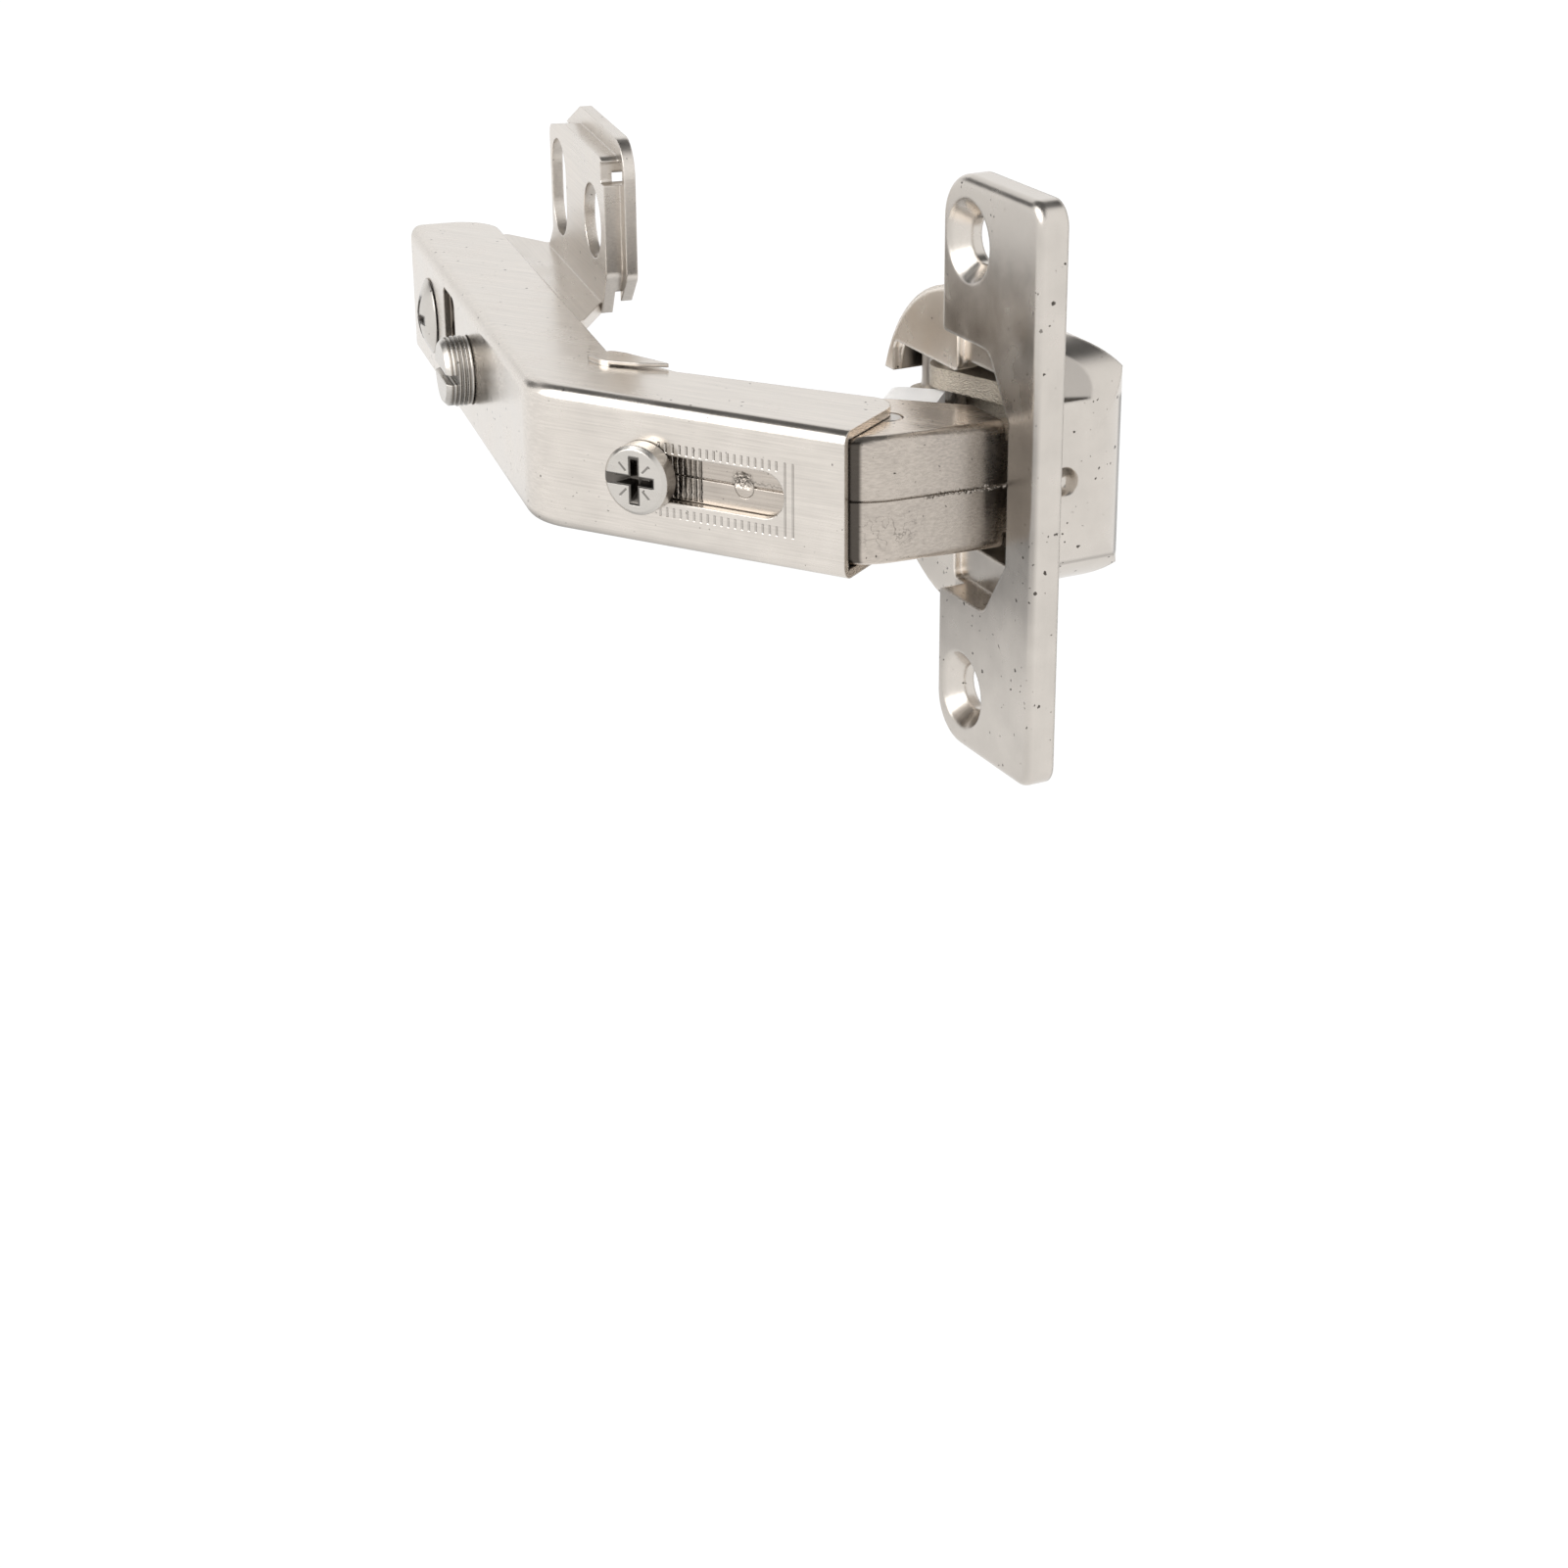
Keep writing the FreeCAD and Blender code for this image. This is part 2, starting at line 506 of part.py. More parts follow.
def cranked_arm_plan():
    """The cranked arm from above, with the open side's outline, and its corner radii."""
    points = [on_short_leg(0, 0), on_short_leg(-LEG_SHORT, 0), on_long_leg(LEG_LONG, 0),
              on_long_leg(LEG_LONG, LONG_DEPTH), on_short_leg(-CREST[1], CREST[2]), on_short_leg(-CREST[0], CREST[2]),
              on_short_leg(-SHORT_FLANGE_END[0], SHORT_FLANGE_END[1]), on_short_leg(0, SHORT_DEPTH)]
    return points, [0, CRANK_ROUND, 2.2, 5.0, 0.8, 0.8, 0.6, 3.0]


def cranked_arm_room():
    """The inside of the channel, open behind and at both ends."""
    past = SHORT_DEPTH * 3
    bend = BOX_SHEET * math.tan(math.radians(CRANK) / 2)
    points = [on_short_leg(2, BOX_SHEET), on_short_leg(bend - LEG_SHORT, BOX_SHEET),
              on_long_leg(LEG_LONG + 2, BOX_SHEET), on_long_leg(LEG_LONG + 2, past), on_short_leg(2, past)]
    half = BOX_HALF - BOX_SHEET
    return rounded(points, [0, CRANK_ROUND - BOX_SHEET, 0, 0, 0], -half, 2 * half)


def lap_tab(side):
    """The tab of the long leg's flange that laps over the short leg's flange."""
    plan = [LAP_TIP, LAP_ROOT[0:2], LAP_ROOT[2:4], LAP_ROOT[4:6], (CREST[1], CREST[2]), (CREST[0], CREST[2])]
    radii = [0.1, 2.0, 2.0, 0, 0.8, 1.5]
    low = BOX_HALF if side > 0 else -BOX_HALF - LAP_SHEET
    tab = rounded([on_short_leg(-x, depth) for x, depth in plan], radii, low, LAP_SHEET)
    low = BOX_HALF - 1 if side > 0 else -BOX_HALF - LAP_GAP
    under = Part.makeBox(CREST[0], 2 * SHORT_DEPTH, 1 + LAP_GAP, V(-CREST[0], 0, low))
    return tab.cut(placed(under, short_leg_place()))


def cranked_arm():
    """A folded channel in two legs, with the clamp slot, the collar of the side screw and a window."""
    points, radii = cranked_arm_plan()
    outer = rounded(points, [0, CRANK_ROUND] + [0] * (len(points) - 2), -BOX_HALF, 2 * BOX_HALF)
    front_edges = []
    for edge in outer.Edges:
        middle = edge.valueAt((edge.FirstParameter + edge.LastParameter) / 2)
        short = short_leg_place().inverse().multVec(middle)
        long = long_leg_place().inverse().multVec(middle)
        level = abs(abs(middle.z) - BOX_HALF) < 1e-6
        if level and edge.Length > LEG_SHORT / 2 and min(abs(short.y), abs(long.y)) < 0.01:
            front_edges.append(edge)
    outer = outer.makeFillet(BOX_EDGE, front_edges).common(rounded(points, radii, -BOX_HALF, 2 * BOX_HALF))
    arm = outer.cut(cranked_arm_room()).fuse([lap_tab(1), lap_tab(-1)])
    slot = slab(SLOT_HALF - SLOT_END, -SLOT_START - SLOT_HALF, -1, BOX_SHEET + 1, SLOT_HALF)
    for end in (SLOT_HALF - SLOT_END, -SLOT_START - SLOT_HALF):
        slot = slot.fuse(along_depth(end, 0, SLOT_HALF, -1, BOX_SHEET + 1))
    arm = arm.cut(placed(slot, short_leg_place()))
    collar = along_depth(-SIDE_SCREW_AT, 0, COLLAR_RADIUS, 0, BOX_SHEET + COLLAR)
    low, high = WINDOW[2], WINDOW[3]
    window = Part.makeBox(WINDOW[1] - WINDOW[0], 2 + BOX_SHEET, high - low, V(-WINDOW[1], -1, low))
    window = window.makeFillet(1.2, [e for e in window.Edges if e.BoundBox.YLength > BOX_SHEET])
    fixing_hole = along_depth(-FIXING_AT, 0, FIXING_SHANK_RADIUS + APART, -1, BOX_SHEET + 1)
    screw_hole = along_depth(-SIDE_SCREW_AT, 0, SIDE_SCREW_RADIUS + 2 * RUNNING, -1, BOX_SHEET + COLLAR + 1)
    place = long_leg_place()
    arm = arm.fuse(placed(collar, place)).cut(placed(window.fuse(fixing_hole).fuse(screw_hole), place))
    return arm.removeSplitter()


def clamp_screw():
    """The cross-recessed screw whose head bears on the cranked arm beside the scale."""
    head = along_depth(-CLAMP_AT, 0, CLAMP_HEAD_RADIUS, -SEAT_GAP - CLAMP_HEAD, -SEAT_GAP)
    front = [e for e in head.Edges if abs(e.BoundBox.YMax + SEAT_GAP + CLAMP_HEAD) < 1e-6]
    head = head.makeChamfer(HEAD_CHAMFER, front)
    shank = along_depth(-CLAMP_AT, 0, CLAMP_SHANK_RADIUS, -SEAT_GAP, CLAMP_LENGTH)
    screw = head.fuse(shank).cut(cross_recess(-CLAMP_AT, -SEAT_GAP - CLAMP_HEAD, 0))
    return placed(screw.removeSplitter(), short_leg_place())


def clamp_nut():
    """The square nut that lies against the inside of the inner arm."""
    start = BOX_SHEET + ARM_FRONT_GAP + ARM_SHEET
    nut = Part.makeBox(NUT_SIDE, NUT_THICK, NUT_SIDE, V(-CLAMP_AT - NUT_SIDE / 2, start, -NUT_SIDE / 2))
    nut = nut.makeChamfer(0.5, [e for e in nut.Edges if e.BoundBox.YMin > start + NUT_THICK / 2])
    nut = nut.cut(along_depth(-CLAMP_AT, 0, CLAMP_SHANK_RADIUS + RUNNING, start - 1, start + NUT_THICK + 1))
    return placed(nut, short_leg_place())


def fixing_screw():
    """The domed screw through the long leg into the round nut."""
    ball_radius = (FIXING_HEAD_RADIUS ** 2 + FIXING_DOME ** 2) / (2 * FIXING_DOME)
    ball = Part.makeSphere(ball_radius, V(-FIXING_AT, -SEAT_GAP + ball_radius - FIXING_DOME, 0))
    head = ball.common(along_depth(-FIXING_AT, 0, FIXING_HEAD_RADIUS, -SEAT_GAP - FIXING_DOME, -SEAT_GAP))
    shank = along_depth(-FIXING_AT, 0, FIXING_SHANK_RADIUS, -SEAT_GAP, FIXING_LENGTH)
    screw = head.fuse(shank).cut(cross_recess(-FIXING_AT, -SEAT_GAP - FIXING_DOME, 0))
    return placed(screw.removeSplitter(), long_leg_place())


def side_screw():
    """The slotted stud: thread in the arm's collar, neck and foot held by the mounting plate."""
    neck_start = HAT_TOP - APART
    foot_start = HAT_TOP + PLATE_SHEET + APART
    stud = along_depth(-SIDE_SCREW_AT, 0, SIDE_SCREW_RADIUS, -SIDE_SCREW_OUT, neck_start)
    stud = stud.makeChamfer(0.5, [e for e in stud.Edges if abs(e.BoundBox.YMax + SIDE_SCREW_OUT) < 1e-6])
    stud = stud.fuse(along_depth(-SIDE_SCREW_AT, 0, SIDE_NECK_RADIUS, neck_start, foot_start))
    stud = stud.fuse(along_depth(-SIDE_SCREW_AT, 0, SIDE_FOOT_RADIUS, foot_start, foot_start + SIDE_FOOT))
    slot = Part.makeBox(2.4 * SIDE_SCREW_RADIUS, RECESS_DEPTH, 1.1,
                        V(-SIDE_SCREW_AT - 1.2 * SIDE_SCREW_RADIUS, -SIDE_SCREW_OUT, -0.55))
    return placed(stud.cut(slot).removeSplitter(), long_leg_place())


def fixing_nut():
    """The round threaded insert pressed through the raised channel from behind."""
    top = BOX_SHEET + APART
    back = HAT_TOP + PLATE_SHEET
    nut = along_depth(-FIXING_AT, 0, NUT_NECK_RADIUS, top, back)
    nut = nut.fuse(along_depth(-FIXING_AT, 0, NUT_FLANGE_RADIUS, back, back + PLATE_SHEET))
    bore = along_depth(-FIXING_AT, 0, FIXING_SHANK_RADIUS + RUNNING, top - 1, back + PLATE_SHEET + 1)
    return placed(nut.cut(bore).removeSplitter(), long_leg_place())


def plate_wall(side):
    """One side wall of the raised channel, cut back towards the wing."""
    points = [V(-HAT_NEAR, HAT_TOP, 0), V(-HAT_NEAR, WALL_BEND_DEPTH, 0), V(-JOINT_NEAR, PANEL_FRONT, 0),
              V(-JOINT_NEAR, PANEL_FRONT + PLATE_SHEET, 0), V(-JOINT_FAR, PANEL_FRONT + PLATE_SHEET, 0),
              V(-JOINT_FAR, PANEL_FRONT, 0), V(-HAT_FAR, WALL_BEND_DEPTH, 0), V(-HAT_FAR, HAT_TOP, 0)]
    low = side * HAT_HALF - (PLATE_SHEET if side > 0 else 0)
    return rounded(points, [0, 1.0, 0, 0, 0, 0, 1.0, 0], low, PLATE_SHEET)


def across_panel(points, radii, start, end):
    """A prism through the panel on an outline drawn as (distance from the crank, Z)."""
    shape = rounded([V(-along, z, 0) for along, z in points], radii, -end, end - start)
    return placed(shape, FreeCAD.Placement(V(0, 0, 0), FreeCAD.Rotation(V(1, 0, 0), 90)))


def wing_outline(inset):
    """A wing's corners and radii, with its near and top edges moved inwards."""
    inner = HAT_HALF - PLATE_SHEET
    near, top = WING_NEAR + inset, WING_HALF - inset
    return ([(JOINT_NEAR, inner), (near, inner + 5), (near, top), (WING_CUT[0], top), (WING_FAR, WING_CUT[1]),
             (WING_FAR, inner + 4), (JOINT_FAR, inner)],
            [0, 1.5, LIP_CORNER - inset, 1.5, 1.5, 1.5, 0])


def wing(side):
    """One wing: a panel with a round hole and a slot, stepped back along two edges to a lip."""
    lip_front = PANEL_FRONT + JOGGLE
    back = lip_front + PLATE_SHEET
    raised = across_panel(*wing_outline(JOGGLE_AT), PANEL_FRONT, back)
    lip = across_panel(*wing_outline(0), lip_front, back)
    inset = JOGGLE_AT + PLATE_SHEET
    near, top, past = WING_NEAR + inset, WING_HALF - inset, WING_FAR + PAST
    room = across_panel([(near, 0), (near, top), (past, top), (past, 0)], [0, 1.0, 0, 0],
                        PANEL_FRONT + PLATE_SHEET, back + 1)
    front = PANEL_FRONT - 1
    holes = along_depth(-PLATE_HOLE_AT, PLATE_HOLE_Z, PLATE_HOLE_RADIUS, front, back + 1)
    straight = PLATE_SLOT_LENGTH / 2 - PLATE_SLOT_HALF
    holes = holes.fuse(Part.makeBox(2 * PLATE_SLOT_HALF, back + 1 - front, 2 * straight,
                                    V(-PLATE_SLOT_AT - PLATE_SLOT_HALF, front, PLATE_HOLE_Z - straight)))
    for end in (-1, 1):
        holes = holes.fuse(along_depth(-PLATE_SLOT_AT, PLATE_HOLE_Z + end * straight, PLATE_SLOT_HALF, front, back + 1))
    relief = across_panel([(RELIEF[0], RELIEF[2]), (RELIEF[1], RELIEF[2]), (RELIEF[1], RELIEF[3]),
                           (RELIEF[0], RELIEF[3])], [0.4] * 4, front, back + 1)
    shape = raised.fuse(lip).cut(room).cut(holes)
    if side > 0:
        return shape.cut(relief).removeSplitter()
    corner = across_panel([(WING_NEAR - 1, LOW_WING_CUT[1]), (WING_NEAR, LOW_WING_CUT[1]), (LOW_WING_CUT[0], WING_HALF),
                           (LOW_WING_CUT[0], WING_HALF + 1), (WING_NEAR - 1, WING_HALF + 1)], [0] * 5, front, back + 1)
    return shape.cut(corner).removeSplitter().mirror(V(0, 0, 0), UP)


def mounting_plate():
    web = slab(-HAT_FAR, -HAT_NEAR, HAT_TOP, HAT_TOP + PLATE_SHEET, HAT_HALF)
    plate = web.fuse([plate_wall(1), plate_wall(-1), wing(1), wing(-1)])
    neck_way = slab(-SIDE_SCREW_AT, -HAT_NEAR + 1, HAT_TOP - 1, HAT_TOP + PLATE_SHEET + 1, SIDE_NECK_RADIUS + APART)
    neck_way = neck_way.fuse(along_depth(-SIDE_SCREW_AT, 0, SIDE_NECK_RADIUS + APART, HAT_TOP - 1,
                                         HAT_TOP + PLATE_SHEET + 1))
    nut_hole = along_depth(-FIXING_AT, 0, NUT_NECK_RADIUS + TIGHT, HAT_TOP - 1, HAT_TOP + PLATE_SHEET + 1)
    return placed(plate.cut(neck_way.fuse(nut_hole)).removeSplitter(), long_leg_place())


def closing_spring():
    """A bent leaf riveted to the inner arm; it follows the arm's bend and rises towards the slider."""
    faces = []
    for offset in (ARM_SHEET + TIGHT, ARM_SHEET + TIGHT + SPRING_SHEET):
        tail, bend, in_mouth, tip_side = near_face(offset, SPRING_RIVET_AT + SPRING_TAIL)
        lift = bend + (in_mouth - bend) * SPRING_LIFT
        tip = SPRING_TIP + V(0, offset - ARM_SHEET, 0)
        faces.append([tail, bend, lift, tip])
    outline = faces[0] + list(reversed(faces[1]))
    bend_radius = ARM_BEND - ARM_SHEET
    radii = [0, bend_radius, 3.0, 0, 0, 3.0 - SPRING_SHEET, bend_radius - SPRING_SHEET, 0]
    leaf = rounded(outline, radii, -SPRING_HALF, 2 * SPRING_HALF)
    start = BOX_SHEET + ARM_FRONT_GAP + ARM_SHEET
    hole = along_depth(-SPRING_RIVET_AT, 0, SPRING_RIVET_RADIUS + TIGHT, start - 1, start + SPRING_SHEET + 1)
    return leaf.cut(placed(hole, short_leg_place()))


def spring_rivet():
    start = BOX_SHEET + ARM_FRONT_GAP
    inside = start + ARM_SHEET + TIGHT + SPRING_SHEET
    rivet = along_depth(-SPRING_RIVET_AT, 0, SPRING_RIVET_RADIUS, start, inside + TIGHT)
    rivet = rivet.fuse(along_depth(-SPRING_RIVET_AT, 0, 1.8 * SPRING_RIVET_RADIUS, inside + TIGHT, inside + 0.8))
    return placed(rivet.removeSplitter(), short_leg_place())


def main():
    os.makedirs("parts", exist_ok=True)
    pieces = {
        "hinge_cup": hinge_cup(),
        "outer_link_cup_pin": cup_pin(CUP_PIN_1),
        "inner_link_cup_pin": cup_pin(CUP_PIN_2),
        "outer_link": outer_link(),
        "outer_link_arm_pin": arm_pin(ARM_PIN_1, OUTER_LINK_HALF),
        "inner_link": inner_link(),
        "inner_link_arm_pin": arm_pin(ARM_PIN_2, ARM_HALF),
        "link_slider": link_slider(),
        "inner_arm": inner_arm(),
        "closing_spring": closing_spring(),
        "spring_rivet": spring_rivet(),
        "cranked_arm": cranked_arm(),
        "clamp_screw": clamp_screw(),
        "clamp_nut": clamp_nut(),
        "fixing_screw": fixing_screw(),
        "side_screw": side_screw(),
        "fixing_nut": fixing_nut(),
        "mounting_plate": mounting_plate(),
    }
    for name, shape in pieces.items():
        shape.exportStep("parts/" + name + ".step")
        print(name, "solids", len(shape.Solids), "valid", shape.isValid(), "volume", round(shape.Volume, 1))


main()
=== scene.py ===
"""Corner cabinet hinge: finishes and fine details on the fixed frame, in metres."""
import bpy
import math
from mathutils import Matrix, Vector


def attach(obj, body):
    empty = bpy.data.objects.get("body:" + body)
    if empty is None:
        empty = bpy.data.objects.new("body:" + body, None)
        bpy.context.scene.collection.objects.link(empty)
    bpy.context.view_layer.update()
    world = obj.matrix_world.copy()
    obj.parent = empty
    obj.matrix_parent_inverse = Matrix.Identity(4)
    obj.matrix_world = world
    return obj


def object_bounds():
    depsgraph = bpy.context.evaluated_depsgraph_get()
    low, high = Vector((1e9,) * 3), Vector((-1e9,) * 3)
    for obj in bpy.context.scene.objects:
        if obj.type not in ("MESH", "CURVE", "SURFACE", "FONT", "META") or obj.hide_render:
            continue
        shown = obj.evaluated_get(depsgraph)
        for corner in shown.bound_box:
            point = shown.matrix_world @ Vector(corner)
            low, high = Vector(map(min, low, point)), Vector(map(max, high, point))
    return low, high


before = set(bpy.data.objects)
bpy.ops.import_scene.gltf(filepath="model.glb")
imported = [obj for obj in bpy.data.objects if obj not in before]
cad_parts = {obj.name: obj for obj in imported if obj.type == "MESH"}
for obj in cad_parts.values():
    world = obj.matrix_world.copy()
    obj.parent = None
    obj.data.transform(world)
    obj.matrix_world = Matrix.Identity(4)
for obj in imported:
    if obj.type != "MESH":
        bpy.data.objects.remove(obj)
cad_box = [list(corner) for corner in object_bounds()]

MM = 0.001

# The camera, from the photograph's perspective
CAMERA_AT = Vector((-0.1578, -0.2743, 0.1018))
CAMERA_FORWARD = Vector((0.4085, 0.8186, -0.4038))
CAMERA_RIGHT = Vector((0.8933, -0.4493, -0.0072))
CAMERA_LENS = 72.73
CAMERA_SENSOR = 36
CAMERA_NEAR = 0.01
CAMERA_FAR = 20

# The paper under the hinge, which glows for the camera and for what mirrors it
PAPER_GAP = 0.0005
PAPER_RADIUS = 1.5
PAPER_CORNERS = 96
PAPER_COLOR = (0.93, 0.93, 0.93)
PAPER_ROUGHNESS = 0.9
GLOW_SHARE = 0.88               # the rest is the lit paper, with the faint shadow on it
GLOW_STRENGTH = 1.08
# painted shadow: for the metal the paper glows less close behind the hinge
GLOW_DIMMED = 0.4               # close behind the hinge, as the metal sees it
GLOW_DIMMED_AT = (-0.032, 0.052, 0)
GLOW_DIMMED_REACH = 0.06

# What the metal mirrors: white walls, a ceiling that is dark except to the camera's right, and a dark card
WALL_TOP = (0.55, 0.72)         # sine of the elevation where the walls end
WALL_TONE = 1.05
DARK_TONE = 0.12
RIGHT_WAY = (0.6, -0.8, 0)
RIGHT_EDGE = (0.2, 0.5)
CARD_AT = (-0.4, 0.82, 0.41)    # behind the hinge, mirrored in the top edge of the flange
CARD_EDGE = (0.95, 0.985)       # cosine of the angle from its middle where it ends

# The soft lamp on the left
LAMP_AT = (-0.85, 0.05, 0.62)
LAMP_AIM = (-0.01, 0.03, 0)
LAMP_WIDTH = 0.9
LAMP_POWER = 7

# Places on the arm's front, in millimetres and degrees
ARM_END = (-19.2, -10.4, 0)
SHORT_LEG_TURN = 55.5
LONG_LEG_TURN = 100.5
END_TO_BEND = 37
END_TO_CLAMP_SCREW = 23
BEND_TO_SIDE_SCREW = 33
BEND_TO_FIXING_SCREW = 57

# Colours of the metals, and of the dirt and painted shade on them
NICKEL = (0.685, 0.638, 0.585)
TARNISHED_NICKEL = (0.68, 0.61, 0.54)
SCREW_NICKEL = (0.6, 0.57, 0.53)
SHEARED_NICKEL = (0.56, 0.5, 0.42)
PIN_STEEL = (0.58, 0.55, 0.52)
SPRING_STEEL = (0.35, 0.33, 0.31)
DIRT_AND_SHADE = (0.05, 0.042, 0.035)

# From the darkest shade of a metal to its lightest, as shares of its colour
DARKEST = 0.25
LIGHTEST = 1.45
PLAIN_LEVEL = 0.625             # the level between them that gives the plain colour
TONE_WEIGHT = 0.38
PIT_DIRT = 0.93
RELIEF_STRENGTH = 0.12
RELIEF_DEPTH = 0.05 * MM
EDGE_SAMPLES = 6

# The plating's patterns; a noise is its repeats for each millimetre and its detail
NOISE_MIDDLE = 0.5
GRAIN_SCALE = (0.12, 2.5, 5.0)
GRAIN_NOISE = (1.0, 4.0)
GRAIN_TONE = 0.8
GRAIN_ROUGHNESS = 0.1
FINE_NOISE = (7.0, 2.0)
FINE_DEPTH = 0.35
BLOTCH_NOISE = (0.22, 3.0)
BLOTCH_TONE = 0.5
BLOTCH_ROUGHNESS = 0.25
CROWD_NOISE = (0.16, 2.0)
CROWD_EDGE = (0.45, 0.65)
PIT_KINDS = ((0.8, 0.2), (1.9, 0.26))       # how close together, and how large
PIT_CHANCE = (0.95, 0.97)
PIT_CROWDING = 0.2
PIT_EDGE = (-0.02, 0.04)
PIT_RAGGED_SCALE = 3.0
PIT_RAGGED_SHIFT = 0.5
PIT_DEPTH = 4.0

# The scale pressed in the arm, in millimetres: from, to and half of a soft edge, here and below
LINE_SOFT = 0.4                 # share of a line's half width
SCALE_DEPTH = (0.4, 0.7)
SCALE_FIRST = -21.3
SCALE_PITCH = 0.8
SCALE_LINE = 0.13
SCALE_RUN = (-21.6, -7.2)
SCALE_ABOVE = (2.75, 3.75)
SCALE_BELOW = (-4.1, -3.1)
SCALE_ENDS = ((-6.85, -6.6, 0.05), (-5.95, -5.7, 0.05))
SCALE_LOOK = (0.08, 0.2, -0.06)     # shade, darkening and height, as in each look below; the darkening is dirt on some marks, painted shade on others

# What shows on the front of the inner arm, in the slot and towards the cup
INNER_FRONT = (-6.4, 6.4, 0.2)
ROUGH_NOISE = (2.2, 3.0)
TEETH_FIRST = -20.2
TEETH_PITCH = 0.62
TEETH_LINE = 0.17
TEETH_RUN = (-20.5, -16.8)
TEETH_RISE = (-2.3, 2.4)
TEETH_WAVER = 0.25
# the darkening on the teeth is painted shade between them, over their relief
TEETH_LOOK = (0.08, 0.55, -0.15)
TEAR_RUN = (-12.5, -6.5, 0.3)
TEAR_RISE = (0.05, 0.2, 0.1)
TEAR_SLOPE = 0.06
TEAR_WAVER = 1.6
TEAR_DIRT = 0.6
DENT_RUN = (-13.2, -11.2, 0.5)
DENT_RISE = (0.1, 1.5, 0.4)
DENT_HEIGHT = -0.5
CREASE_NOISE = (1.4, 4.0)
CREASE_LINES = (0.47, 0.53, 0.02)
CREASE_DIRT = 0.9
SCUFF_RUN = (1.0, 5.0, 1.5)
SCUFF_RISE = (-4.6, -1.6, 1.2)
SCUFF_NOISE = (0.9, 5.0)
SCUFF_LINES = (0.5, 0.53, 0.02)
SCUFF_DIRT = 0.6
BURR_RUN = (5.6, 12.0, 0.3)
BURR_RISE = (0.0, 0.22, 0.12)
BURR_WAVER = 1.2
BURR_SHADE = -0.3
BURR_HEIGHT = 0.5
# painted shadow in the gap where the inner arm comes out of the cranked arm
MOUTH_RUN = (-0.5, 0.75, 0.25)
MOUTH_PAINTED_SHADOW = 0.95
# painted shade over the inner arm's front, darker towards the cup
FRONT_PAINTED_SHADE = 0.2
FRONT_PAINTED_SHADE_MORE = 0.07
FRONT_PAINTED_SHADE_MORE_RUN = (3.0, 8.5)
DARKEST_MARK = 0.92

# The cup's room with painted shadow, the dimple in its near side, painted shade on its flange, painted light
# on its lobe, and the edge of the flange's strip
CUP_SHADE = 0.06
ROOM_RISE = (-8.5, 8.5, 0.3)
ROOM_WIDTH = (-14.3, 14.2, 0.3)
ROOM_DEPTH = (2.1, 11.5, 0.4)
ROOM_PAINTED_SHADOW = 0.75
DIMPLE_RISE = 0.9
DIMPLE_DEPTH = 2.9
DIMPLE_EDGE = (0.2, 1.7)
DIMPLE_HEIGHT = -0.9
NEAR_SIDE = (-15.0, -14.0)
FLANGE_FACE = (-2.95, -2.4)
FLANGE_SHADE = 0.09
FLANGE_MIDDLE = (5.0, 17.0)
FLANGE_MIDDLE_SHADE = 0.25
LOBE_DEPTH = (-0.6, 0.7, 0.1)
LOBE_WIDTH = (-1.0, 1.0)
LOBE_SHADE = -0.5
STRIP_RISE = (-14.0, -2.0, 3.0)
STRIP_WIDTH = (-21.0, -17.5, 0.8)
STRIP_PITS = (1.3, 0.3)
STRIP_DIRT = 0.9

# The side screw's thread
THREAD_PITCH = 0.5
THREAD_RUN = (-2.8, 20.0)
# the darkening in the grooves is painted shade
THREAD_LOOK = (0.2, 0.45, -0.12)
THREAD_START = -1.78            # just below the bottom of the slot
THREAD_TURNS = 3
THREAD_RADIUS = 3.85
THREAD_RIDGE = 0.14             # clear of the arm at both ends of its tilt
THREAD_SEGMENTS = 72
RIDGE_SEGMENTS = 8

# The heads of the two crossed screws
HEAD_TOP = (-1.6, -1.4)
HEAD_LINE_EDGE = (0.07, 0.15)
HEAD_LINE_REACH = (1.35, 2.5)
HEAD_LINE_LOOK = (0.2, 0.5, -0.05)
CROSS_UPRIGHT_WIDTH = (-0.6, 0.6, 0.08)
CROSS_UPRIGHT_RISE = (-2.5, 2.5, 0.15)
CROSS_LEVEL_WIDTH = (-0.55, 0.55, 0.08)
CROSS_LEVEL_RIGHT = 2.3
CROSS_LEVEL_SOFT = 0.15
FIXING_CROSS_LEFT = -2.3
CLAMP_CROSS_LEFT = -3.6         # one arm of the cross is worn out to the edge
# painted shade in the cross recess
CROSS_PAINTED_SHADE = 0.85
CROSS_HEIGHT = -0.5

# The grit on sheared edges, and the nylon
SHEARED_SCALE = (2.0, 2.0, 1.0)
SHEARED_NOISE = (3.5, 4.0)
SHEARED_SHADE = 0.6
SHEARED_HEIGHT = 0.25
NYLON_PALE = (0.93, 0.93, 0.92)
NYLON_WHITE = (0.98, 0.98, 0.98)
NYLON_NOISE = 0.9 / MM
NYLON_RELIEF = 0.1


def add_camera():
    forward = CAMERA_FORWARD.normalized()
    right = (CAMERA_RIGHT - CAMERA_RIGHT.dot(forward) * forward).normalized()
    up = right.cross(forward)
    data = bpy.data.cameras.new("camera")
    data.sensor_width = CAMERA_SENSOR
    data.sensor_height = CAMERA_SENSOR
    data.sensor_fit = "HORIZONTAL"
    data.lens = CAMERA_LENS
    data.clip_start = CAMERA_NEAR
    data.clip_end = CAMERA_FAR
    camera = bpy.data.objects.new("camera", data)
    turn = Matrix((right, up, -forward)).transposed().to_4x4()
    camera.matrix_world = Matrix.Translation(CAMERA_AT) @ turn
    bpy.context.collection.objects.link(camera)
    bpy.context.scene.camera = camera


def deselect_all():
    for other in bpy.context.selected_objects:
        other.select_set(False)


def set_inputs(node, values):
    for socket, value in values.items():
        node.inputs[socket].default_value = value


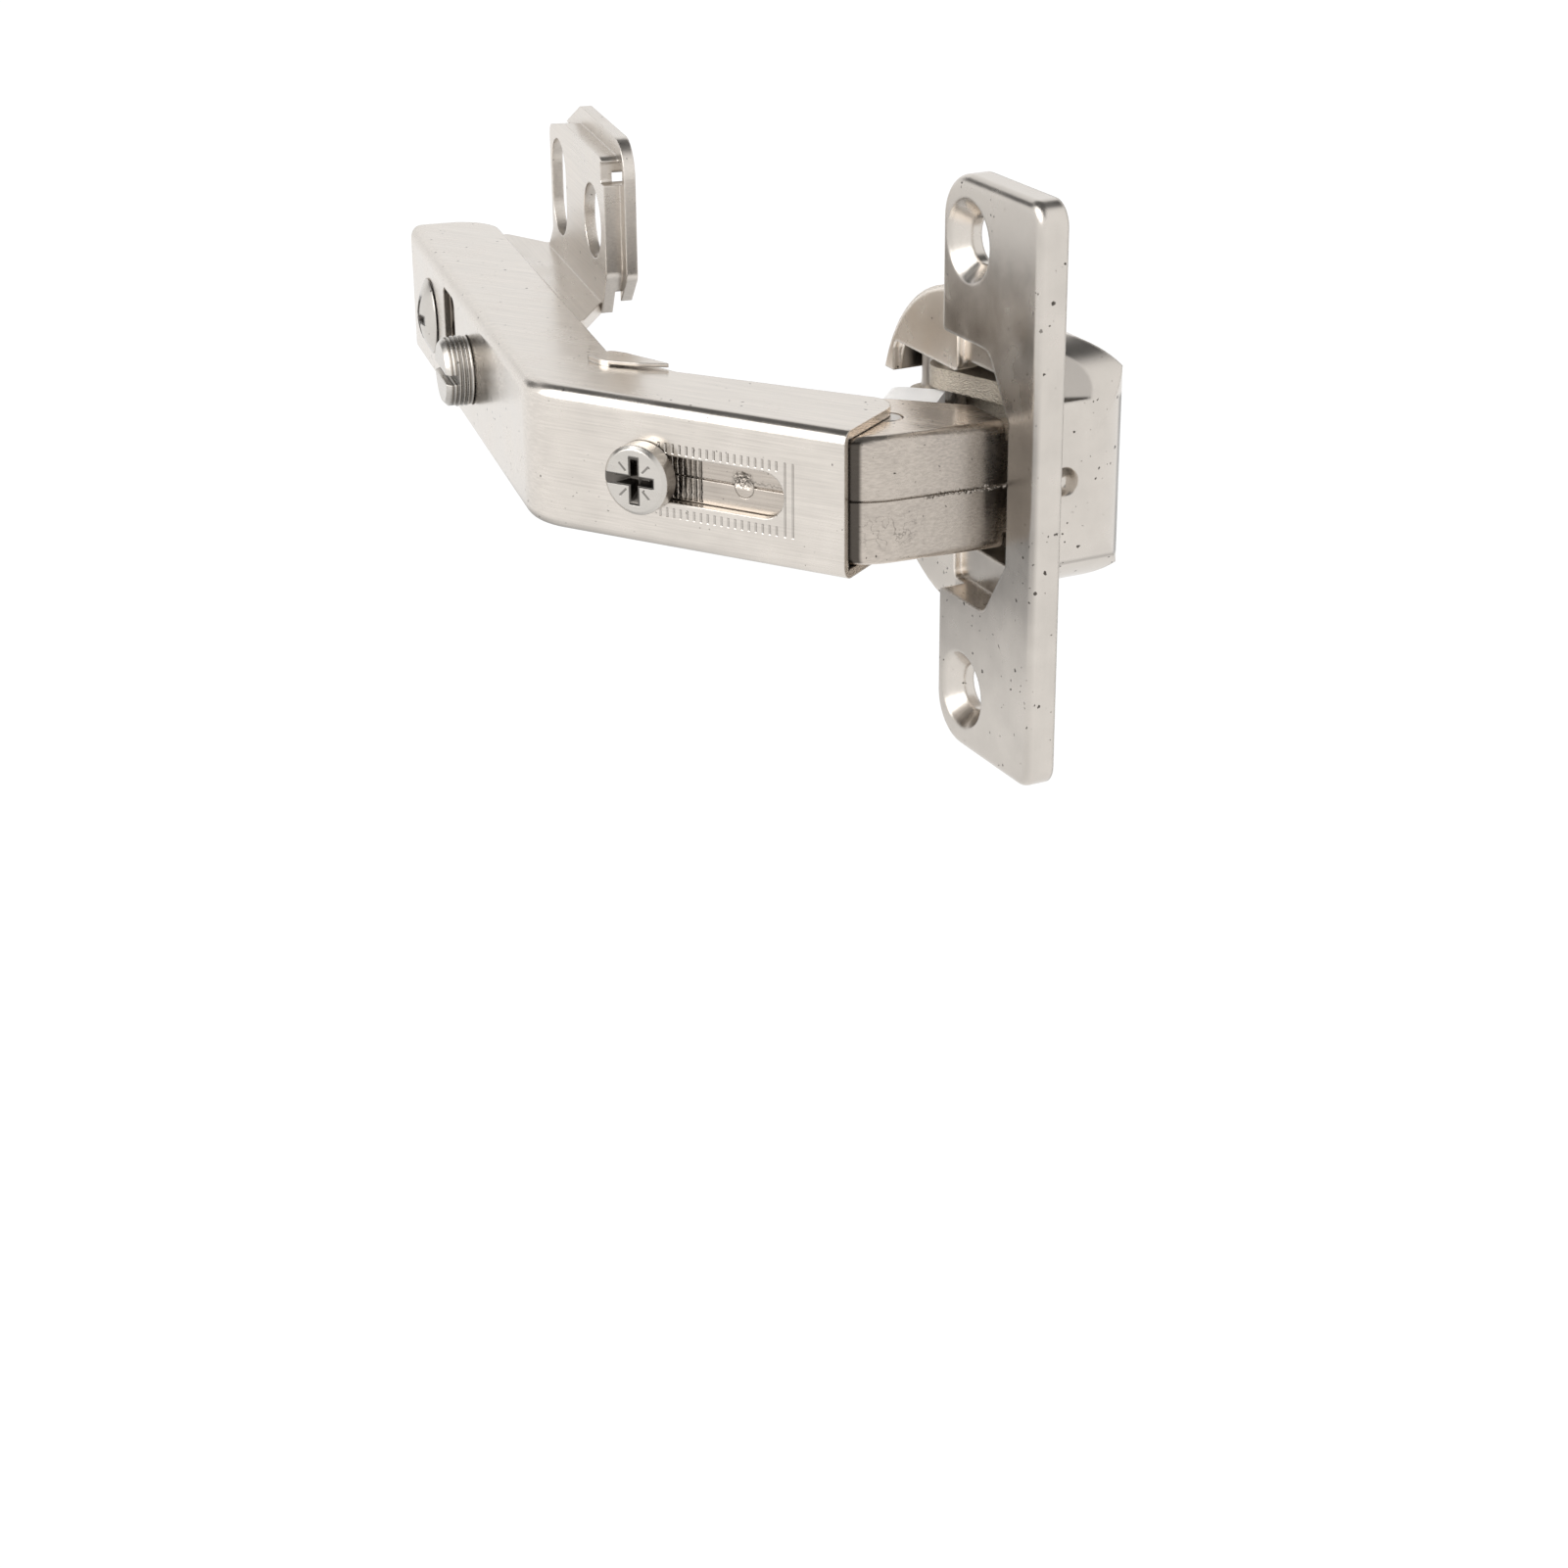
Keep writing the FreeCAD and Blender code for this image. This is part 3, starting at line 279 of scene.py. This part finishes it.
def math_node(tree, operation, *values):
    """One Math operation on numbers and sockets."""
    node = tree.nodes.new("ShaderNodeMath")
    node.operation = operation
    for socket, value in zip(node.inputs, values):
        if isinstance(value, (int, float)):
            socket.default_value = value
        else:
            tree.links.new(value, socket)
    return node.outputs["Value"]


def in_turn(tree, operation, values):
    """One Math operation on several values, one after another."""
    result = values[0]
    for value in values[1:]:
        result = math_node(tree, operation, result, value)
    return result


def times(tree, *values):
    return in_turn(tree, "MULTIPLY", values)


def plus(tree, *values):
    return in_turn(tree, "ADD", values)


def highest(tree, *values):
    return in_turn(tree, "MAXIMUM", values)


def less(tree, value, other):
    return math_node(tree, "SUBTRACT", value, other)


def size_of(tree, value):
    return math_node(tree, "ABSOLUTE", value)


def band(tree, value, low, high):
    """A smooth step from 0 below low to 1 above high."""
    node = tree.nodes.new("ShaderNodeMapRange")
    node.interpolation_type = "SMOOTHSTEP"
    set_inputs(node, {"From Min": low, "From Max": high})
    tree.links.new(value, node.inputs["Value"])
    return node.outputs["Result"]


def below(tree, value, low, high):
    """A smooth step from 1 below low to 0 above high."""
    return less(tree, 1.0, band(tree, value, low, high))


def inside(tree, value, low, high, soft=0.06):
    """1 where a length lies between two others."""
    rise = band(tree, value, low - soft, low + soft)
    fall = band(tree, value, high - soft, high + soft)
    return less(tree, rise, fall)


def tick_marks(tree, value, first, pitch, half):
    """1 on narrow lines that repeat along a length."""
    from_line = math_node(tree, "PINGPONG", less(tree, value, first), pitch / 2)
    return below(tree, from_line, half * (1 - LINE_SOFT), half * (1 + LINE_SOFT))


def vector_value(tree, operation, vector, fixed):
    """The number that a Vector Math operation gives for a vector and a fixed one."""
    node = tree.nodes.new("ShaderNodeVectorMath")
    node.operation = operation
    tree.links.new(vector, node.inputs[0])
    node.inputs[1].default_value = fixed
    return node.outputs["Value"]


def along(tree, place, origin, direction):
    """How far a point lies from an origin along a direction; the origin and the result are in millimetres."""
    reached = vector_value(tree, "DOT_PRODUCT", place, [part / MM for part in direction])
    return less(tree, reached, Vector(origin).dot(Vector(direction)))


def stretched(tree, lengths, scale=(1.0, 1.0, 1.0)):
    """A vector of three lengths, each with its own scale, for a drawn-out pattern."""
    node = tree.nodes.new("ShaderNodeCombineXYZ")
    for socket, value, factor in zip(node.inputs, lengths, scale):
        tree.links.new(times(tree, value, factor), socket)
    return node.outputs["Vector"]


def noise(tree, vector, scale, detail=2.0):
    """A cloudy pattern, mostly near the middle between 0 and 1."""
    node = tree.nodes.new("ShaderNodeTexNoise")
    set_inputs(node, {"Scale": scale, "Detail": detail})
    tree.links.new(vector, node.inputs["Vector"])
    return node.outputs["Fac"]


def mixed_color(tree, level, first, second):
    """A colour between two others; each is a fixed colour or a socket."""
    node = tree.nodes.new("ShaderNodeMix")
    node.data_type = "RGBA"
    tree.links.new(level, node.inputs["Factor"])
    for socket, color in zip(("A", "B"), (first, second)):
        if isinstance(color, tuple):
            node.inputs[socket].default_value = (*color, 1)
        else:
            tree.links.new(color, node.inputs[socket])
    return node.outputs["Result"]


def mixed_shader(tree, share, first, second):
    """One shader, with another in its place for a share of the light."""
    node = tree.nodes.new("ShaderNodeMixShader")
    for socket, value in zip(node.inputs, (share, first, second)):
        tree.links.new(value, socket)
    return node.outputs["Shader"]


def bumped(tree, height, strength, distance, normal=None):
    """A normal that follows a height."""
    node = tree.nodes.new("ShaderNodeBump")
    set_inputs(node, {"Strength": strength, "Distance": distance})
    tree.links.new(height, node.inputs["Height"])
    if normal:
        tree.links.new(normal, node.inputs["Normal"])
    return node.outputs["Normal"]


def new_material(name):
    material = bpy.data.materials.new(name)
    material.use_nodes = True
    return material, material.node_tree, material.node_tree.nodes["Principled BSDF"]


def object_place(tree):
    return tree.nodes.new("ShaderNodeTexCoord").outputs["Object"]


def floor_material():
    """White paper that stays white for the camera, glows for the metal with a painted shadow close behind the
    hinge, and keeps a faint shadow.
    """
    material, tree, paper = new_material("pale_floor")
    set_inputs(paper, {"Base Color": (*PAPER_COLOR, 1), "Roughness": PAPER_ROUGHNESS})
    path = tree.nodes.new("ShaderNodeLightPath")
    camera = path.outputs["Is Camera Ray"]
    from_hinge = vector_value(tree, "DISTANCE", object_place(tree), GLOW_DIMMED_AT)
    full = highest(tree, band(tree, from_hinge, 0.0, GLOW_DIMMED_REACH), camera)
    strength = plus(tree, times(tree, full, GLOW_STRENGTH - GLOW_DIMMED), GLOW_DIMMED)
    glow = tree.nodes.new("ShaderNodeEmission")
    tree.links.new(strength, glow.inputs["Strength"])
    seen = highest(tree, camera, path.outputs["Is Glossy Ray"], path.outputs["Is Transmission Ray"])
    look = mixed_shader(tree, times(tree, seen, GLOW_SHARE), paper.outputs["BSDF"], glow.outputs["Emission"])
    tree.links.new(look, tree.nodes["Material Output"].inputs["Surface"])
    return material


def add_floor():
    low = min(corner[2] for corner in cad_box)
    deselect_all()
    bpy.ops.mesh.primitive_circle_add(
        vertices=PAPER_CORNERS, radius=PAPER_RADIUS, fill_type="NGON", location=(0, 0, low - PAPER_GAP))
    floor = bpy.context.object
    floor.name = "floor"
    floor.data.materials.append(floor_material())


def add_lamp():
    data = bpy.data.lights.new("left_softbox", "AREA")
    data.shape = "SQUARE"
    data.size = LAMP_WIDTH
    data.energy = LAMP_POWER
    lamp = bpy.data.objects.new("left_softbox", data)
    lamp.location = LAMP_AT
    aim = Vector(LAMP_AIM) - Vector(LAMP_AT)
    lamp.rotation_euler = aim.to_track_quat("-Z", "Y").to_euler()
    bpy.context.collection.objects.link(lamp)


def studio_world():
    """White walls, dark ceiling and dark card for the metal to mirror; the camera itself sees plain white."""
    world = bpy.data.worlds.new("studio")
    world.use_nodes = True
    tree = world.node_tree
    way = tree.nodes.new("ShaderNodeTexCoord").outputs["Generated"]
    upward, rightward, towards_card = [
        vector_value(tree, "DOT_PRODUCT", way, fixed) for fixed in ((0, 0, 1), RIGHT_WAY, CARD_AT)]
    ceiling = times(tree, band(tree, upward, *WALL_TOP), below(tree, rightward, *RIGHT_EDGE))
    card = band(tree, towards_card, *CARD_EDGE)
    tone = mixed_color(tree, highest(tree, ceiling, card), (WALL_TONE,) * 3, (DARK_TONE,) * 3)
    studio = tree.nodes["Background"]
    tree.links.new(tone, studio.inputs["Color"])
    white = tree.nodes.new("ShaderNodeBackground")
    set_inputs(white, {"Color": (1, 1, 1, 1)})
    camera = tree.nodes.new("ShaderNodeLightPath").outputs["Is Camera Ray"]
    look = mixed_shader(tree, camera, studio.outputs["Background"], white.outputs["Background"])
    tree.links.new(look, tree.nodes["World Output"].inputs["Surface"])
    return world


def add_light():
    add_lamp()
    bpy.context.scene.world = studio_world()
    bpy.context.scene.view_settings.view_transform = "Standard"


def pits(tree, vector, crowd, scale, size):
    """Ragged dark spots at random places, thicker where crowd is high."""
    ragged = tree.nodes.new("ShaderNodeTexNoise")
    set_inputs(ragged, {"Scale": PIT_RAGGED_SCALE})
    tree.links.new(vector, ragged.inputs["Vector"])
    shift = tree.nodes.new("ShaderNodeVectorMath")
    shift.operation = "MULTIPLY_ADD"
    tree.links.new(ragged.outputs["Color"], shift.inputs[0])
    shift.inputs[1].default_value = (PIT_RAGGED_SHIFT,) * 3
    tree.links.new(vector, shift.inputs[2])
    cells = tree.nodes.new("ShaderNodeTexVoronoi")
    set_inputs(cells, {"Scale": scale})
    tree.links.new(shift.outputs["Vector"], cells.inputs["Vector"])
    chance = tree.nodes.new("ShaderNodeSeparateColor")
    tree.links.new(cells.outputs["Color"], chance.inputs["Color"])
    crowded = plus(tree, chance.outputs["Red"], times(tree, crowd, PIT_CROWDING))
    reach = times(tree, chance.outputs["Green"], size)
    spot = band(tree, less(tree, reach, cells.outputs["Distance"]), *PIT_EDGE)
    return times(tree, band(tree, crowded, *PIT_CHANCE), spot)


def new_group(name, inputs, outputs):
    """An empty shader node group of number sockets; the inputs come with their plain values."""
    group = bpy.data.node_groups.new(name, "ShaderNodeTree")
    for socket, value in inputs.items():
        item = group.interface.new_socket(socket, in_out="INPUT", socket_type="NodeSocketFloat")
        item.default_value = value
    for socket in outputs:
        group.interface.new_socket(socket, in_out="OUTPUT", socket_type="NodeSocketFloat")
    return group, group.nodes.new("NodeGroupInput"), group.nodes.new("NodeGroupOutput")


def plating_group():
    """Nickel plating in millimetres: grain along the first length, blotches, small dark pits."""
    group, start, end = new_group(
        "plating",
        {"Along": 0.0, "Deep": 0.0, "Across": 0.0, "Grain": 1.0, "Pits": 1.0, "Blotches": 1.0},
        ("Tone", "Roughness", "Height", "Pit"))
    lengths = [start.outputs[name] for name in ("Along", "Deep", "Across")]
    even = stretched(group, lengths)
    grain = noise(group, stretched(group, lengths, GRAIN_SCALE), *GRAIN_NOISE)
    crowd = band(group, noise(group, even, *CROWD_NOISE), *CROWD_EDGE)
    pit = highest(group, *[pits(group, even, crowd, *kind) for kind in PIT_KINDS])
    pit = times(group, pit, start.outputs["Pits"])
    streaks = times(group, less(group, grain, NOISE_MIDDLE), start.outputs["Grain"])
    blotches = less(group, noise(group, even, *BLOTCH_NOISE), NOISE_MIDDLE)
    blotches = times(group, blotches, start.outputs["Blotches"])
    fine = times(group, noise(group, even, *FINE_NOISE), FINE_DEPTH)
    rise = plus(group, times(group, grain, start.outputs["Grain"]), fine)
    results = {
        "Tone": plus(group, times(group, streaks, GRAIN_TONE), times(group, blotches, BLOTCH_TONE)),
        "Roughness": plus(
            group, times(group, blotches, BLOTCH_ROUGHNESS), times(group, streaks, GRAIN_ROUGHNESS)),
        "Height": less(group, rise, times(group, pit, PIT_DEPTH)),
        "Pit": pit,
    }
    for socket, value in results.items():
        group.links.new(value, end.inputs[socket])
    return group


PLATING = plating_group()


def plated_material(
        name, color, lie, marks=None, roughness=0.3, grain=1.0, pitting=1.0, blotches=1.0, edge=0.25):
    """Plated metal on a piece.

    lie is a point of the piece, its run and the direction into it. marks gives the shade, the darkening
    (dirt, and painted shade on some marks) and the height of what is drawn on it, from the lengths along the
    run, into the piece and across both. edge is the softness of its edges in millimetres.
    """
    material, tree, shader = new_material(name)
    origin, run, deep = lie
    place = object_place(tree)
    lengths = [along(tree, place, origin, way) for way in (run, deep, Vector(run).cross(Vector(deep)))]
    plating = tree.nodes.new("ShaderNodeGroup")
    plating.node_tree = PLATING
    for socket, value in zip(("Along", "Deep", "Across"), lengths):
        tree.links.new(value, plating.inputs[socket])
    set_inputs(plating, {"Grain": grain, "Pits": pitting, "Blotches": blotches})
    shade, dirt_and_shade, height = marks(tree, *lengths) if marks else (0.0, 0.0, 0.0)
    level = less(tree, plus(tree, times(tree, plating.outputs["Tone"], TONE_WEIGHT), PLAIN_LEVEL), shade)
    darkest, lightest = [tuple(part * share for part in color) for share in (DARKEST, LIGHTEST)]
    clean = mixed_color(tree, level, darkest, lightest)
    # the darkening towards the dirt colour holds pits and dirt, and the painted shade that some marks give
    stain_and_shade = highest(tree, times(tree, plating.outputs["Pit"], PIT_DIRT), dirt_and_shade)
    tree.links.new(mixed_color(tree, stain_and_shade, clean, DIRT_AND_SHADE), shader.inputs["Base Color"])
    set_inputs(shader, {"Metallic": 1.0})
    tree.links.new(plus(tree, plating.outputs["Roughness"], roughness), shader.inputs["Roughness"])
    soft = tree.nodes.new("ShaderNodeBevel")
    soft.samples = EDGE_SAMPLES
    set_inputs(soft, {"Radius": edge * MM})
    normal = bumped(tree, plating.outputs["Height"], RELIEF_STRENGTH, RELIEF_DEPTH, soft.outputs["Normal"])
    if marks:
        normal = bumped(tree, height, 1.0, MM, normal)
    tree.links.new(normal, shader.inputs["Normal"])
    return material


def drawn(tree, mask, look):
    """The shade, the darkening and the height of one mask."""
    return [times(tree, mask, part) for part in look]


def cranked_arm_marks(tree, run, depth, rise):
    """The scale on both sides of the slot, and the two long lines that end it."""
    lines = tick_marks(tree, run, SCALE_FIRST, SCALE_PITCH, SCALE_LINE)
    beside_slot = plus(tree, inside(tree, rise, *SCALE_ABOVE), inside(tree, rise, *SCALE_BELOW))
    scale = times(tree, lines, beside_slot, inside(tree, run, *SCALE_RUN))
    ends = plus(tree, *[inside(tree, run, *line) for line in SCALE_ENDS])
    ends = times(tree, ends, inside(tree, rise, SCALE_BELOW[0], SCALE_ABOVE[1]))
    on_front = below(tree, depth, *SCALE_DEPTH)
    return drawn(tree, times(tree, plus(tree, scale, ends), on_front), SCALE_LOOK)


def inner_arm_marks(tree, run, depth, rise):
    """Upright teeth with painted shade, a tear and a crumpled dent in the slot, scuffs, a burr, a painted
    shadow at the mouth, and painted shade over the front, darker towards the cup.
    """
    even = stretched(tree, (run, depth, rise))
    rough = noise(tree, even, *ROUGH_NOISE)
    uneven = less(tree, rough, NOISE_MIDDLE)
    wavering = plus(tree, run, times(tree, uneven, TEETH_WAVER))
    teeth = tick_marks(tree, wavering, TEETH_FIRST, TEETH_PITCH, TEETH_LINE)
    teeth = times(tree, teeth, inside(tree, run, *TEETH_RUN), inside(tree, rise, *TEETH_RISE))
    teeth_shade, teeth_painted_shade, teeth_height = drawn(tree, teeth, TEETH_LOOK)
    tear_level = plus(tree, rise, times(tree, uneven, TEAR_WAVER), times(tree, run, TEAR_SLOPE))
    tear = times(tree, inside(tree, tear_level, *TEAR_RISE), inside(tree, run, *TEAR_RUN))
    dent = times(tree, inside(tree, run, *DENT_RUN), inside(tree, rise, *DENT_RISE))
    creases = times(tree, dent, inside(tree, noise(tree, even, *CREASE_NOISE), *CREASE_LINES))
    scuffed = times(tree, inside(tree, run, *SCUFF_RUN), inside(tree, rise, *SCUFF_RISE))
    scuffs = times(tree, scuffed, inside(tree, noise(tree, even, *SCUFF_NOISE), *SCUFF_LINES))
    burr_level = plus(tree, rise, times(tree, uneven, BURR_WAVER))
    burr = times(tree, inside(tree, burr_level, *BURR_RISE), inside(tree, run, *BURR_RUN))
    front = inside(tree, rise, *INNER_FRONT)
    mouth = times(tree, inside(tree, run, *MOUTH_RUN), front)
    front_painted_shade = plus(tree, FRONT_PAINTED_SHADE, times(tree, band(tree, run, *FRONT_PAINTED_SHADE_MORE_RUN), FRONT_PAINTED_SHADE_MORE))
    shade = plus(tree, times(tree, front_painted_shade, front), teeth_shade, times(tree, burr, BURR_SHADE))
    dirt_and_shade = plus(tree, teeth_painted_shade, times(tree, tear, TEAR_DIRT), times(tree, creases, CREASE_DIRT))
    dirt_and_shade = plus(tree, dirt_and_shade, times(tree, scuffs, SCUFF_DIRT), times(tree, mouth, MOUTH_PAINTED_SHADOW))
    dirt_and_shade = math_node(tree, "MINIMUM", dirt_and_shade, DARKEST_MARK)
    dent_height = times(tree, dent, rough, DENT_HEIGHT)
    return shade, dirt_and_shade, plus(tree, teeth_height, dent_height, times(tree, burr, rough, BURR_HEIGHT))


def hinge_cup_marks(tree, rise, depth, width):
    """Painted shadow deep in the cup, the dimple in its near side, painted shade on the flange, painted light
    on the lobe, and the pitted edge of the strip.
    """
    room = times(tree, inside(tree, rise, *ROOM_RISE), inside(tree, width, *ROOM_WIDTH))
    # painted shadow deep in the cup, under the lobe
    deep = times(tree, room, inside(tree, depth, *ROOM_DEPTH), ROOM_PAINTED_SHADOW)
    up = less(tree, rise, DIMPLE_RISE)
    over = less(tree, depth, DIMPLE_DEPTH)
    from_dimple = math_node(tree, "SQRT", plus(tree, times(tree, up, up), times(tree, over, over)))
    dimple = times(tree, below(tree, from_dimple, *DIMPLE_EDGE), below(tree, width, *NEAR_SIDE))
    middle = below(tree, size_of(tree, rise), *FLANGE_MIDDLE)
    flange_shade = plus(tree, FLANGE_SHADE, times(tree, middle, FLANGE_MIDDLE_SHADE))
    flange_shade = times(tree, below(tree, depth, *FLANGE_FACE), flange_shade)
    lobe = times(tree, inside(tree, depth, *LOBE_DEPTH), band(tree, width, *LOBE_WIDTH))
    strip = times(tree, inside(tree, rise, *STRIP_RISE), inside(tree, width, *STRIP_WIDTH))
    eaten = pits(tree, stretched(tree, (rise, depth, width)), strip, *STRIP_PITS)
    shade = plus(tree, CUP_SHADE, flange_shade, times(tree, lobe, LOBE_SHADE))
    dirt_and_shade = highest(tree, deep, times(tree, eaten, STRIP_DIRT))
    return shade, dirt_and_shade, times(tree, dimple, DIMPLE_HEIGHT)


def thread_marks(tree, run, depth, rise):
    """Painted shade in the grooves round the screw."""
    from_groove = math_node(tree, "PINGPONG", depth, THREAD_PITCH / 2)
    groove = below(tree, from_groove, 0.0, THREAD_PITCH / 2)
    return drawn(tree, times(tree, groove, inside(tree, depth, *THREAD_RUN)), THREAD_LOOK)


def screw_head_marks(left):
    """Painted shade in the cross recess, whose one arm ends at left, and four short lines between its arms.
    """
    def marks(tree, run, depth, rise):
        turned = (plus(tree, run, rise), less(tree, run, rise))
        sizes = [size_of(tree, times(tree, length, math.sqrt(0.5))) for length in turned]
        lines = below(tree, math_node(tree, "MINIMUM", *sizes), *HEAD_LINE_EDGE)
        lines = times(tree, lines, inside(tree, highest(tree, *sizes), *HEAD_LINE_REACH))
        line_shade, line_dirt, line_height = drawn(
            tree, times(tree, lines, below(tree, depth, *HEAD_TOP)), HEAD_LINE_LOOK)
        upright = times(
            tree, inside(tree, run, *CROSS_UPRIGHT_WIDTH), inside(tree, rise, *CROSS_UPRIGHT_RISE))
        level_run = inside(tree, run, left, CROSS_LEVEL_RIGHT, CROSS_LEVEL_SOFT)
        cross = highest(tree, upright, times(tree, inside(tree, rise, *CROSS_LEVEL_WIDTH), level_run))
        dirt_and_shade = highest(tree, times(tree, cross, CROSS_PAINTED_SHADE), line_dirt)
        return line_shade, dirt_and_shade, plus(tree, line_height, times(tree, cross, CROSS_HEIGHT))
    return marks


def sheared_marks(tree, rise, depth, width):
    """The torn, glittering face of cut sheet."""
    grit = noise(tree, stretched(tree, (rise, depth, width), SHEARED_SCALE), *SHEARED_NOISE)
    shade = times(tree, less(tree, grit, NOISE_MIDDLE), SHEARED_SHADE)
    return shade, 0.0, times(tree, grit, SHEARED_HEIGHT)


def nylon_material():
    material, tree, shader = new_material("white_nylon")
    set_inputs(shader, {
        "Roughness": 0.42,
        "Subsurface Weight": 0.2,
        "Subsurface Radius": (MM, MM, MM),
        # painted light: a faint glow brightens the nylon where it sits in the cup's shade
        "Emission Color": (0.93, 0.9, 0.87, 1),
        "Emission Strength": 0.12,
    })
    grit = noise(tree, object_place(tree), NYLON_NOISE)
    tree.links.new(mixed_color(tree, grit, NYLON_PALE, NYLON_WHITE), shader.inputs["Base Color"])
    tree.links.new(bumped(tree, grit, NYLON_RELIEF, RELIEF_DEPTH), shader.inputs["Normal"])
    return material


def dress(node, material):
    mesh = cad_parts[node].data
    mesh.materials.clear()
    mesh.materials.append(material)


def leg_lie(origin, turn):
    """A point on the front of a leg of the arm, the leg's run, and the direction into its front."""
    angle = math.radians(turn)
    return origin, (math.cos(angle), -math.sin(angle), 0), (math.sin(angle), math.cos(angle), 0)


def further_back(lie, length):
    """The point on a leg's front at a length back along its run."""
    origin, run, _ = lie
    return [part - length * way for part, way in zip(origin, run)]


def add_side_screw_thread(lie, material):
    """The ridges of the thread between the screw's slot and the arm."""
    origin, _, deep = lie
    ridges = []
    for turn in range(THREAD_TURNS):
        depth = THREAD_START + turn * THREAD_PITCH
        bpy.ops.mesh.primitive_torus_add(
            location=(Vector(origin) + Vector(deep) * depth) * MM,
            rotation=Vector(deep).to_track_quat("Z", "Y").to_euler(),
            major_segments=THREAD_SEGMENTS, minor_segments=RIDGE_SEGMENTS,
            major_radius=THREAD_RADIUS * MM, minor_radius=THREAD_RIDGE * MM)
        ridges.append(bpy.context.object)
    deselect_all()
    for ridge in ridges:
        ridge.select_set(True)
    bpy.context.view_layer.objects.active = ridges[0]
    bpy.ops.object.join()
    thread = bpy.context.object
    thread.name = "side_screw_thread"
    bpy.ops.object.transform_apply(location=True, rotation=True, scale=True)
    thread.data.materials.clear()
    thread.data.materials.append(material)
    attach(thread, "side_screw")


def dress_frame():
    """A finish for every solid; the pins take the plain one."""
    short = leg_lie(ARM_END, SHORT_LEG_TURN)
    long = leg_lie(further_back(short, END_TO_BEND), LONG_LEG_TURN)
    clamp = leg_lie(further_back(short, END_TO_CLAMP_SCREW), SHORT_LEG_TURN)
    fixing = leg_lie(further_back(long, BEND_TO_FIXING_SCREW), LONG_LEG_TURN)
    side = leg_lie(further_back(long, BEND_TO_SIDE_SCREW), LONG_LEG_TURN)
    cup = ((0, 0, 0), (0, 0, 1), (1, 0, 0))
    pin = plated_material("pin_steel", PIN_STEEL, cup, grain=0.3, pitting=0.0)
    sheared = plated_material(
        "sheared_nickel", SHEARED_NICKEL, cup, sheared_marks, roughness=0.36, grain=0.3)
    tarnished_and_shaded = plated_material(
        "tarnished_and_shaded_nickel", TARNISHED_NICKEL, short, inner_arm_marks, roughness=0.26, grain=1.3)
    nut = plated_material("nut_nickel", SCREW_NICKEL, clamp, grain=0.3)
    dressing = {
        "hinge_cup": plated_material(
            "cast_nickel", NICKEL, cup, hinge_cup_marks, roughness=0.24, grain=0.1, blotches=1.2, edge=0.5),
        "cranked_arm": plated_material(
            "folded_nickel", NICKEL, short, cranked_arm_marks, roughness=0.24, grain=0.9),
        "mounting_plate": plated_material("wing_nickel", NICKEL, long, grain=0.8, pitting=0.6),
        "inner_arm": tarnished_and_shaded,
        "spring_rivet": tarnished_and_shaded,
        "clamp_screw": plated_material(
            "clamp_nickel", SCREW_NICKEL, clamp, screw_head_marks(CLAMP_CROSS_LEFT),
            roughness=0.28, grain=0.3),
        "fixing_screw": plated_material(
            "fixing_nickel", SCREW_NICKEL, fixing, screw_head_marks(FIXING_CROSS_LEFT),
            roughness=0.28, grain=0.3),
        "side_screw": plated_material("threaded_nickel", SCREW_NICKEL, side, thread_marks, roughness=0.28),
        "clamp_nut": nut,
        "fixing_nut": nut,
        "closing_spring": plated_material("spring_steel", SPRING_STEEL, cup, roughness=0.35, pitting=0.3),
        "outer_link": sheared,
        "inner_link": sheared,
        "link_slider": nylon_material(),
    }
    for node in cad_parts:
        dress(node, dressing.get(node, pin))
    add_side_screw_thread(side, dressing["side_screw"])


def main():
    add_camera()
    add_floor()
    add_light()
    dress_frame()


main()
